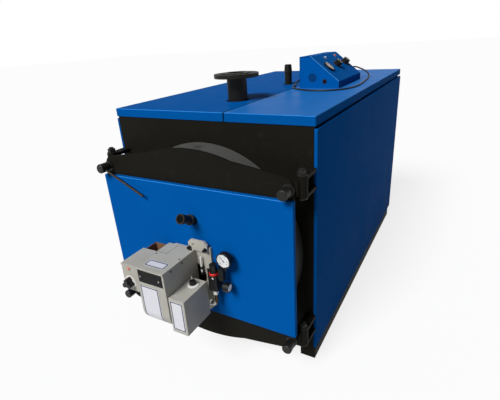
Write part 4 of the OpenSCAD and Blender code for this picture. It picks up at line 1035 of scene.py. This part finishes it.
class BOILER_OT_connections(bpy.types.Operator):
    """Finish the flanged pipes and the safety valve's socket"""
    bl_idname = "boiler.connections"
    bl_label = "Water connections"
    thread_ridges, thread_pitch = 12, 2.3

    def execute(self, context):
        sizes = context.scene.boiler_sizes
        for node in ("flow_pipe", "return_pipe"):
            softened(node, 1.5 * MM, ["black pipe lacquer"])
            low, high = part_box(node)
            neck = Vector(((low.x + high.x) / 2, (low.y + high.y) / 2, high.z - sizes.flange))
            bead = weld_ring(sizes.pipe + 0.5 * MM, 1.4 * MM, Matrix.Translation(neck), 4 * MM)
            piece(node + "_weld", bead, ["black pipe lacquer"], "boiler")
        low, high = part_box("safety_socket")
        rise = (high.z - low.z) / MM
        outline = [(16, 0), (20, 0), (20, rise - 48.5), (22.4, rise - 47), (22.4, rise - 38), (18.8, rise - 1),
                   (18, rise), (16.8, rise), (16, rise - 1), (16, 0)]
        piece("safety_socket_dressed", turned_mm(outline, 64), ["black pipe lacquer"], "boiler",
              ["safety_socket"], Matrix.Translation((0, (low.y + high.y) / 2, low.z)))
        thread = bmesh.new()
        for i in range(self.thread_ridges):
            ridge = turned_mm([(16.2, -1.1), (14.9, 0), (16.2, 1.1)], 40)
            depth = (2.5 + self.thread_pitch * i) * MM
            merge(thread, ridge, Matrix.Translation((0, (low.y + high.y) / 2, high.z - depth)))
        piece("socket_thread", thread, ["bare drawn steel"], "boiler")
        return {"FINISHED"}


class BOILER_OT_hinges(bpy.types.Operator):
    """Finish the hinge lugs, pins and blocks"""
    bl_idname = "boiler.hinges"
    bl_label = "Hinges"

    def execute(self, context):
        softened("hinge_lugs", 1.5 * MM, ["black stove enamel"])
        softened("hinge_pins", 1 * MM, ["black hinge enamel"])
        for node in ("left_hinge_blocks", "right_hinge_blocks"):
            softened(node, 2 * MM, ["black stove enamel"])
        return {"FINISHED"}


def on_sight():
    """Place on the sight tube's axis at the cover's face, with Z towards the eye."""
    tilt = math.radians(27)
    toward = Vector((0, -math.cos(tilt), math.sin(tilt)))
    side = Vector((1, 0, 0))
    low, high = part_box("door_cover")
    origin = Vector((16 * MM, low.y, (low.z + high.z) / 2 + 149 * MM))
    return axes(side, toward.cross(side), toward, origin)


class BOILER_OT_door(bpy.types.Operator):
    """Finish the door: plate, drum, lining, gasket, cover, bolts and sight tube"""
    bl_idname = "boiler.door"
    bl_label = "Door"

    def execute(self, context):
        sizes = context.scene.boiler_sizes
        softened("door_plate", 1.5 * MM, ["black stove enamel"])
        dress("door_drum", "heat-resistant drum paint")
        dress("door_lining", "cast refractory")
        dress("door_gasket", "braided ceramic rope")
        low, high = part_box("door_drum")
        centre = (low + high) / 2
        rim = facing_front(Vector((0, low.y, centre.z)))
        bead = weld_ring((high.x - low.x) / 2, 2.4 * MM, rim, 3.5 * MM)
        piece("drum_weld", bead, ["black stove enamel"], "door")
        self.cover(sizes)
        self.bolts()
        self.sight()
        return {"FINISHED"}

    def cover(self, sizes):
        low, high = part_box("door_cover")
        size = high - low
        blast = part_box("blast_tube")
        burner_z = (blast[0].z + blast[1].z) / 2
        boss = (disc(sizes.boss_hole, 60 * MM, 0, 96), facing_front(Vector((0, low.y + 50 * MM, burner_z))))
        slant = on_sight() @ Matrix.Translation((0, 0, -57 * MM))
        sight = (disc(sizes.sight_hole, 120 * MM, 0, 64), slant)
        coat = "door powder coat"
        # The cover's top fold takes a painted highlight
        folded_pan("door_cover_sheet", "door_cover", facing_front(low), size.x, size.z, size.y,
                   [coat, coat, "sheet fold highlight paint"], None, [boss, sight])

    def bolts(self):
        softened("door_bolts", 0.8 * MM, ["black hinge enamel"])
        axis = Vector(find_joint("name", "clamp_turn")["pos_m"])
        head_radius = 20.6 * MM

        def bolt_or_bar(p):
            washer = p.y > axis.y + 10 * MM
            return 1 if not washer and math.hypot(p.x - axis.x, p.z - axis.z) > head_radius else 0

        softened("clamp_bolt", 0.8 * MM, ["black hinge enamel", "bare drawn steel"],
                 bolt_or_bar)

    def sight(self):
        place = on_sight()
        inverse = place.inverted()

        def tube_or_ring(p):
            return 1 if (inverse @ p).z > 69.9 * MM else 0

        softened("sight_tube", 0.7 * MM, ["black hinge enamel", "bare drawn steel"],
                 tube_or_ring)
        pane = disc(15.3 * MM, 1.6 * MM, 0.2 * MM)
        piece("sight_glass", pane, ["black acrylic window"], "door",
              place=place @ Matrix.Translation((0, 0, 80.3 * MM)))


class BOILER_OT_burner(bpy.types.Operator):
    """Finish the burner: housings, window, plates, knobs, cap and fasteners"""
    bl_idname = "boiler.burner"
    bl_label = "Burner"
    # Millimetres: across the window, up the mounting plate, along the housing's side and on its top
    window_size, window_screws = (121, 55), (-51, 43)
    bracket_spots = ((2, 562), (80, 566))
    nut_spots = ((-78, 300), (78, 300), (-78, 420))
    side_screws = ((14, 128), (44, 262), (112, 262), (14, 30))
    top_screws = ((-10, 112), (-130, 112), (-10, 190))
    tube_sockets = (444, 470)

    def execute(self, context):
        sizes = context.scene.boiler_sizes
        grey = ["pebble-grey textured paint"]
        softened("burner_mount_plate", 1 * MM, grey)
        dress("blast_tube", "heat-tinted steel")
        softened("burner_housing", 1.6 * MM, grey, segments=3)
        spindle_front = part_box("burner_control_box")[0].y + 14 * MM
        softened("burner_control_box", 1.6 * MM, grey + ["zinc-plated steel"],
                 lambda p: 1 if p.y < spindle_front - 1 * MM else 0, 3)
        softened("burner_knob", 1.5 * MM, ["black phenolic"], segments=3)
        softened("intake_box", 0.5 * MM, ["brown primer"])
        softened("side_tank", 2 * MM, grey, segments=3)
        self.window(sizes)
        self.plates(sizes)
        self.control_front(sizes)
        self.cap()
        self.bracket_knobs()
        self.screws(sizes)
        self.level_tube()
        return {"FINISHED"}

    def front(self, sizes):
        """Corners of the housing's front face, without its lip."""
        low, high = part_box("burner_housing")
        return Vector((low.x, low.y + sizes.lip, low.z)), Vector((high.x, low.y + sizes.lip, high.z))

    def window(self, sizes):
        low, high = self.front(sizes)
        middle = Vector(((low.x + high.x) / 2, low.y + 2.8 * MM, high.z - 38 * MM))
        width, height = self.window_size
        bm = extruded(rounded(width * MM, height * MM, 2 * MM), 2.4 * MM, 0.4 * MM)
        for x in self.window_screws:
            merge(bm, slotted_screw(4 * MM), Matrix.Translation((x * MM, -2 * MM, 2.4 * MM)), 1)
        piece("burner_window", bm, ["black acrylic window", "zinc-plated steel"], "door",
              place=facing_front(middle))

    def plates(self, sizes):
        low, high = self.front(sizes)
        looks = ["bare plate film", "plate border ink"]
        tank_low, tank_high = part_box("side_tank")
        spots = [
            ("tank_plate", 62, 136, facing_front(Vector(((tank_low.x + tank_high.x) / 2 - 1 * MM, tank_low.y,
                                                         (tank_low.z + tank_high.z) / 2 + 2 * MM)))),
            ("housing_top_plate", 96, 42, Matrix.Translation(((low.x + high.x) / 2, low.y + 46 * MM, high.z))),
        ]
        for name, width, height, place in spots:
            plate = bare_plate(width * MM, height * MM, 2 * MM, 2 * MM, 4.5 * MM)
            piece(name, plate, looks, "door", place=place)
        piece("housing_front_plate", self.bent_plate(low), looks, "door")

    def bent_plate(self, low):
        """Bare plate on the housing's front that follows the round of its lower edge."""
        left, right = low.x + 9 * MM, low.x + 101 * MM
        round_r = 75 * MM
        top = low.z + 196 * MM
        centre = Vector((0, low.y + round_r, low.z + round_r))
        profile = [(low.y, top), (low.y, centre.z)]
        for step in range(1, 9):
            turn = math.radians(180 + 5.5 * step)
            profile.append((centre.y + round_r * math.cos(turn), centre.z + round_r * math.sin(turn)))

        def strip(x0, x1, points, proud):
            bm = bmesh.new()
            rows = []
            for y, z in points:
                out = Vector((0, y, z)) - centre
                out = Vector((0, -1, 0)) if z > centre.z else out.normalized()
                rows.append([bm.verts.new(Vector((x, y, z)) + out * proud) for x in (x0, x1)])
            for a, b in zip(rows, rows[1:]):
                bm.faces.new([a[0], b[0], b[1], a[1]])
            return bm

        bm = strip(left, right, profile, 0.4 * MM)
        edge, line = 2 * MM, 4.5 * MM
        for x0 in (left + edge, right - edge - line):
            merge(bm, strip(x0, x0 + line, profile, 0.5 * MM), look=1)
        for points in ([(low.y, top - edge), (low.y, top - edge - line)], profile[-2:]):
            merge(bm, strip(left + edge, right - edge, points, 0.5 * MM), look=1)
        return bm

    def control_front(self, sizes):
        low, high = self.front(sizes)
        pivot = find_joint("name", "control_knob_turn")["pos_m"]
        knob = Vector((pivot[0], low.y, pivot[2]))
        scale = ring(5 * MM, 29 * MM, 0.25 * MM, 0, 64)
        add_ticks(scale, 24.5, 28, 0.08, 0.25, 1)
        piece("control_scale", scale, ["white nylon", "dial ink"], "door",
              place=facing_front(knob))
        lamp = turned_mm([(0, 0), (7, 0), (7, 2), (5.6, 2.6), (5.4, 2.6)], 32)
        merge(lamp, turned_mm([(5.4, 2.2), (4.9, 4.4), (3, 6), (0, 6.6)], 32), None, 1)
        piece("burner_lamp", lamp, ["zinc-plated steel", "amber lamp lens"], "door",
              place=facing_front(Vector((knob.x + 6 * MM, low.y, high.z - 17 * MM))))

    def cap(self):
        low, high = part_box("tank_cap")
        middle = Vector(((low.x + high.x) / 2, (low.y + high.y) / 2, low.z))
        bm = turned_mm([(0, 0), (24, 0), (24, 2), (22.5, 3), (14.5, 3), (0, 3)], 64)
        grip = extruded(star(14 * MM, 1.2 * MM, 20), 15 * MM, 0.3 * MM)
        merge(bm, grip, Matrix.Translation((0, 0, 3 * MM)), 1)
        merge(bm, turned_mm([(0, 18), (12.6, 18), (11.5, 19.6), (0, 20)], 48), None, 1)
        piece("tank_cap_dressed", bm, ["white nylon", "black phenolic"], "door", ["tank_cap"],
              Matrix.Translation(middle))

    def bracket_knobs(self):
        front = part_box("burner_mount_plate")[0].y
        knobs = bmesh.new()
        for x, z in self.bracket_spots:
            grip = extruded(star(7.5 * MM, 0.9 * MM, 14), 14 * MM, 0.5 * MM)
            merge(knobs, grip, facing_front(Vector((x * MM, front, z * MM))))
        piece("bracket_knobs", knobs, ["black phenolic"], "door")
        screw = slotted_screw(4.5 * MM)
        piece("bracket_screw", screw, ["zinc-plated steel"], "door",
              place=facing_front(Vector((20 * MM, front, 580 * MM))))
        nuts = bmesh.new()
        for x, z in self.nut_spots:
            where = facing_front(Vector((x * MM, front + 12 * MM, z * MM)))
            merge(nuts, nut_on_stud(15 * MM, 4.5 * MM), where)
        piece("mount_nuts", nuts, ["zinc-plated steel"], "door")

    def screws(self, sizes):
        low, high = self.front(sizes)
        bm = bmesh.new()
        for y, z in self.side_screws:
            merge(bm, slotted_screw(3.6 * MM), facing_right(Vector((high.x, low.y + y * MM, low.z + z * MM))))
        for x, y in self.top_screws:
            merge(bm, slotted_screw(3.2 * MM), Matrix.Translation((high.x + x * MM, low.y + y * MM, high.z)))
        piece("housing_screws", bm, ["black nylon"], "door")
        proud = high.z + 0.4 * MM
        seam = slab((low.x + 52 * MM, low.y + 127 * MM, high.z), (low.x + 53 * MM, low.y + 205 * MM, proud))
        merge(seam, slab((low.x, low.y + 126 * MM, high.z), (low.x + 53 * MM, low.y + 127 * MM, proud)))
        piece("housing_top_seam", seam, ["dark seam"], "door")

    def level_tube(self):
        """Level tube on the mounting plate, with its black sockets, and the small post on the tank."""
        x, y = 50 * MM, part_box("burner_mount_plate")[0].y
        tube = turned_mm([(0, 452), (4.2, 452), (4.2, 524), (3.2, 526), (0, 526)], 32)
        for foot in self.tube_sockets:
            outline = [(0, foot), (7.5, foot), (8, foot + 2), (8, foot + 8), (6.5, foot + 10), (0, foot + 10)]
            merge(tube, turned_mm(outline, 32), None, 1)
            block = slab((-5 * MM, 0, (foot + 1) * MM), (5 * MM, 12 * MM, (foot + 9) * MM), 0.6 * MM)
            merge(tube, block, None, 1)
        piece("level_tube", tube, ["white nylon", "black nylon"], "door",
              place=Matrix.Translation((x, y, 0)))
        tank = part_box("side_tank")
        post = turned_mm([(0, 0), (3.4, 0), (3.4, 4), (2.4, 5), (2.4, 15), (0, 16)], 24)
        piece("tank_post", post, ["white nylon"], "door",
              place=Matrix.Translation((tank[0].x + 12 * MM, tank[1].y - 14 * MM, tank[1].z)))


class BOILER_OT_air_set(bpy.types.Operator):
    """Finish the air regulator, its knob and its two gauges"""
    bl_idname = "boiler.air_set"
    bl_label = "Air regulator"

    def execute(self, context):
        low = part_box("air_regulator")[0]
        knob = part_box("regulator_knob")
        centre = (knob[0] + knob[1]) / 2
        collar = (knob[0].z - 8.3 * MM, knob[0].z)
        body_foot = low.z + 68 * MM
        bowl_foot = body_foot - 26.5 * MM

        def look_of(p):
            near = math.hypot(p.x - centre.x, p.y - centre.y)
            if near < 19 * MM and collar[0] + 0.1 * MM < p.z < collar[1]:
                return 1
            if p.z < bowl_foot:
                return 3
            return 2 if p.z < body_foot - 0.5 * MM else 0

        looks = ["black nylon", "red locking ring", "white nylon", "tarnished brass"]
        softened("air_regulator", 0.8 * MM, looks, look_of)
        softened("regulator_knob", 0.6 * MM, ["black phenolic"])
        red = ring(15 * MM, 19.4 * MM, 6 * MM, 0.8 * MM, 64)
        piece("locking_ring", red, ["red locking ring"], "door",
              place=Matrix.Translation((centre.x, centre.y, collar[0] + 1 * MM)))
        badge = disc(4 * MM, 0.6 * MM, 0.2 * MM, 32)
        piece("regulator_dot", badge, ["white nylon"], "door",
              place=facing_front(Vector((centre.x + 6 * MM, centre.y - 20 * MM, collar[0] - 10 * MM))))
        self.gauges(centre)
        return {"FINISHED"}

    def gauges(self, centre):
        looks = ["black phenolic", "dial enamel", "dial ink", "dial ink", "dial glass"]
        low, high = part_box("pressure_gauges")
        radius, small_radius, rim, depth = 33 * MM, 20 * MM, 4 * MM, 26 * MM
        stem_x, middle_z = high.x - 14 * MM, high.z - radius
        large = dial(radius, rim, depth, 20, ["0", "2", "4", "6", "8", "10"], 0.34)
        place = facing_front(Vector((stem_x, centre.y + 13 * MM, middle_z)))
        stem_foot = Matrix.Translation((stem_x, centre.y, middle_z - radius - 13 * MM))
        merge(large, turned_mm([(0, 0), (6, 0), (6, 16), (0, 16)], 32), place.inverted() @ stem_foot)
        piece("large_gauge", large, looks, "door", ["pressure_gauges"], place)
        small = dial(small_radius, rim, depth, 10, ["0", "5", "10"], 0.5)
        merge(small, turned_mm([(0, -9), (6, -9), (6, 0), (0, 0)], 32))
        piece("small_gauge", small, looks, "door",
              place=facing_right(Vector((high.x - depth, centre.y, low.z + small_radius))))


class BOILER_OT_console(bpy.types.Operator):
    """Finish the console: case, thermometer, lamps, knobs and glands"""
    bl_idname = "boiler.console"
    bl_label = "Console"
    # Millimetres along and down the slope
    thermometer_spot, lamps_down = (72, 92), 29
    lamps = (("pale_lamp", 157, "pale lamp lens"), ("red_lamp", 322, "red lamp lens"))

    def execute(self, context):
        sizes = context.scene.boiler_sizes
        low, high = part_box("console_case")
        self.low = low
        top = Vector((low.x + sizes.console_top, low.y, high.z))
        toe = Vector((high.x, low.y, low.z + sizes.console_toe))
        down = (toe - top).normalized()
        out = down.cross(Vector((0, 1, 0)))
        out = out if out.z > 0 else -out
        self.slope = (top, down, out)

        def spindle(p):
            return 1 if (p - top).dot(out) > 0.6 * MM and p.z < high.z - 1 * MM else 0

        softened("console_case", 1.2 * MM, ["console powder coat", "zinc-plated steel"], spindle)
        softened("cable_glands", 0.6 * MM, ["black nylon"])
        for node in ("thermostat_knob", "limiter_knob"):
            softened(node, 0.6 * MM, ["black phenolic"])
            self.knob_marks(node)
        self.instruments()
        self.cheek_plugs(sizes)
        return {"FINISHED"}

    def cheek_plugs(self, sizes):
        """Painted plug in the near cheek's large hole, a rubber grommet in its small one, and a painted
        highlight along the slope's near edge."""
        low = self.low
        top, down, out = self.slope
        toe = top + down * ((top.z - low.z - sizes.console_toe) / -down.z)
        # A lighter bead along the slope's near edge: a painted highlight
        lip = [p + Vector((0, 1.4 * MM, 0)) - out * 0.6 * MM for p in (top, toe)]
        piece("console_edge_highlight", swept(lip, lambda i: 1.7 * MM), ["console edge highlight paint"], "boiler")
        plug = disc(21.8 * MM, 1.4 * MM, 0.5 * MM, 64)
        piece("cheek_plug", plug, ["dark blue plug paint"], "boiler",
              place=facing_front(low + Vector((69 * MM, 2 * sizes.cheek, 50 * MM))))
        grommet = ring(5.5 * MM, 11.5 * MM, 1.8 * MM, 0.7 * MM)
        piece("cheek_grommet", grommet, ["brown rubber"], "boiler",
              place=facing_front(low + Vector((134 * MM, sizes.cheek, 32 * MM))))

    def on_slope(self, along, down_slope, lift=0.0):
        """Place on the slope: Z along its normal, Y up the slope."""
        top, down, out = self.slope
        origin = top + Vector((0, along, 0)) + down * down_slope + out * lift
        return axes(Vector((0, 1, 0)), -down, out, origin)

    def knob_marks(self, node):
        """Pointer on the knob and a plain scale on the slope round it."""
        joint = find_joint("child", frame["nodes"][node]["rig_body"])
        top, down, _ = self.slope
        spot = Vector(joint["pos_m"])
        along = spot.y - self.low.y
        down_slope = (spot - top).dot(down)
        pointer = slab((-1.2 * MM, 6 * MM, 0), (1.2 * MM, 18 * MM, 0.5 * MM), 0.15 * MM)
        piece(node + "_pointer", pointer, ["white nylon"], joint["child"],
              place=self.on_slope(along, down_slope, 26 * MM))
        scale = bmesh.new()
        add_ticks(scale, 26, 30, 0.1)
        piece(node + "_scale", scale, ["white nylon"], "boiler",
              place=self.on_slope(along, down_slope, 0.05 * MM))

    def instruments(self):
        looks = ["black phenolic", "black dial enamel", "white nylon", "pointer red", "dial glass"]
        thermometer = dial(31 * MM, 4 * MM, 10 * MM, 24, ["0", "20", "40", "60", "80", "100", "120"], 0.2)
        piece("thermometer", thermometer, looks, "boiler", ["console_instruments"],
              self.on_slope(*[spot * MM for spot in self.thermometer_spot]))
        for name, along, lens in self.lamps:
            lamp = turned_mm([(0, 0), (10, 0), (10, 2), (8.6, 3), (7, 3)], 40)
            merge(lamp, turned_mm([(7, 2.5), (7, 5.5), (5.8, 8), (3, 9), (0, 9.2)], 40), None, 1)
            piece(name, lamp, ["zinc-plated steel", lens], "boiler",
                  place=self.on_slope(along * MM, self.lamps_down * MM))


class BOILER_OT_stage(bpy.types.Operator):
    """Lay the pale floor and hang the soft light"""
    bl_idname = "boiler.stage"
    bl_label = "Stage"

    def execute(self, context):
        studio = context.scene.boiler_studio
        bm = bmesh.new()
        half = studio.floor_size / 2
        corners = ((-half, -half, 0), (half, -half, 0), (half, half, 0), (-half, half, 0))
        bm.faces.new([bm.verts.new(p) for p in corners])
        mesh = bpy.data.meshes.new("floor")
        bm.to_mesh(mesh)
        bm.free()
        floor = bpy.data.objects.new("floor", mesh)
        context.scene.collection.objects.link(floor)
        self.floor_paint(studio)
        mesh.materials.append(finish("painted studio floor"))
        lamp = bpy.data.lights.new("key", "SUN")
        lamp.energy = studio.sun
        lamp.angle = studio.sun_angle
        key = bpy.data.objects.new("key", lamp)
        key.rotation_euler = Vector(KEY_FROM).to_track_quat("Z", "Y").to_euler()
        context.scene.collection.objects.link(key)
        self.sky(context, studio)
        context.scene.view_settings.view_transform = "Standard"
        return {"FINISHED"}

    def seen(self, tree):
        """Socket that is 1 for the eye, mirrors and glass and 0 for light on its way to a surface."""
        path = add(tree, "ShaderNodeLightPath", {})
        eye = larger(tree, path.outputs["Is Camera Ray"], path.outputs["Is Glossy Ray"])
        return larger(tree, eye, path.outputs["Is Transmission Ray"])

    def floor_paint(self, studio):
        """Pale floor that looks nearly white, keeps the boiler's shadow and throws less light than it shows."""
        tree, shader, _ = start_finish("painted studio floor", studio.floor, 0.9, {"Specular IOR Level": 0.0})
        glow = add(tree, "ShaderNodeEmission", {"Color": (1, 1, 1, 1), "Strength": 1.0})
        shown = mix_shaders(tree, studio.floor_glow, shader, glow)
        thrown = add(tree, "ShaderNodeBsdfDiffuse", {"Color": shade(studio.floor, studio.floor_bounce)})
        mixed = mix_shaders(tree, self.seen(tree), thrown, shown)
        feed(tree, tree.nodes["Material Output"], {"Surface": mixed.outputs[0]})

    def sky(self, context, studio):
        """White for the eye, mirrors and glass, with a dim ceiling that leaves a bright wall behind the boiler;
        an even, low level for all other light."""
        world = bpy.data.worlds.new("studio")
        context.scene.world = world
        world.use_nodes = True
        tree = world.node_tree
        tree.nodes.clear()
        way = add(tree, "ShaderNodeTexCoord", {}).outputs["Generated"]
        height = add(tree, "ShaderNodeSeparateXYZ", {"Vector": way}).outputs["Z"]
        toward = add(tree, "ShaderNodeVectorMath", {0: way, 1: Vector(WALL_TOWARD).normalized()},
                     operation="DOT_PRODUCT").outputs["Value"]
        wall = ramp(tree, toward, [math.cos(math.radians(turn)) for turn in WALL_ANGLES], (0.18, 1.0))
        low = ramp(tree, height, (0.2, 0.32), (1.0, 0.0))
        bright = larger(tree, wall, low)
        seen = add(tree, "ShaderNodeBackground", {"Color": (1, 1, 1, 1), "Strength": bright})
        ambient = add(tree, "ShaderNodeBackground", {"Color": (1, 1, 1, 1), "Strength": studio.ambient})
        mixed = mix_shaders(tree, self.seen(tree), ambient, seen)
        add(tree, "ShaderNodeOutputWorld", {"Surface": mixed.outputs[0]})


STEPS = (BOILER_OT_finishes, BOILER_OT_camera, BOILER_OT_cable, BOILER_OT_jacket, BOILER_OT_base,
         BOILER_OT_flue, BOILER_OT_connections, BOILER_OT_hinges, BOILER_OT_door, BOILER_OT_burner,
         BOILER_OT_air_set, BOILER_OT_console, BOILER_OT_stage)


class BOILER_PT_panel(bpy.types.Panel):
    """Boiler's settings and steps"""
    bl_idname = "BOILER_PT_panel"
    bl_label = "Boiler"
    bl_space_type = "VIEW_3D"
    bl_region_type = "UI"
    bl_category = "Boiler"

    def draw(self, context):
        for group in (context.scene.boiler_colours, context.scene.boiler_sizes, context.scene.boiler_studio):
            box = self.layout.box()
            for key in group.__annotations__:
                box.prop(group, key)
        for step in STEPS:
            self.layout.operator(step.bl_idname)


GROUPS = {"boiler_colours": BoilerColours, "boiler_sizes": BoilerSizes, "boiler_studio": BoilerStudio}


def register():
    for cls in (*GROUPS.values(), *STEPS, BOILER_PT_panel):
        bpy.utils.register_class(cls)
    for key, group in GROUPS.items():
        setattr(bpy.types.Scene, key, PointerProperty(type=group))


def unregister():
    for key in GROUPS:
        delattr(bpy.types.Scene, key)
    for cls in reversed((*GROUPS.values(), *STEPS, BOILER_PT_panel)):
        bpy.utils.unregister_class(cls)


def main():
    register()
    for step in STEPS:
        family, name = step.bl_idname.split(".")
        getattr(getattr(bpy.ops, family), name)()


if __name__ == "__main__":
    main()
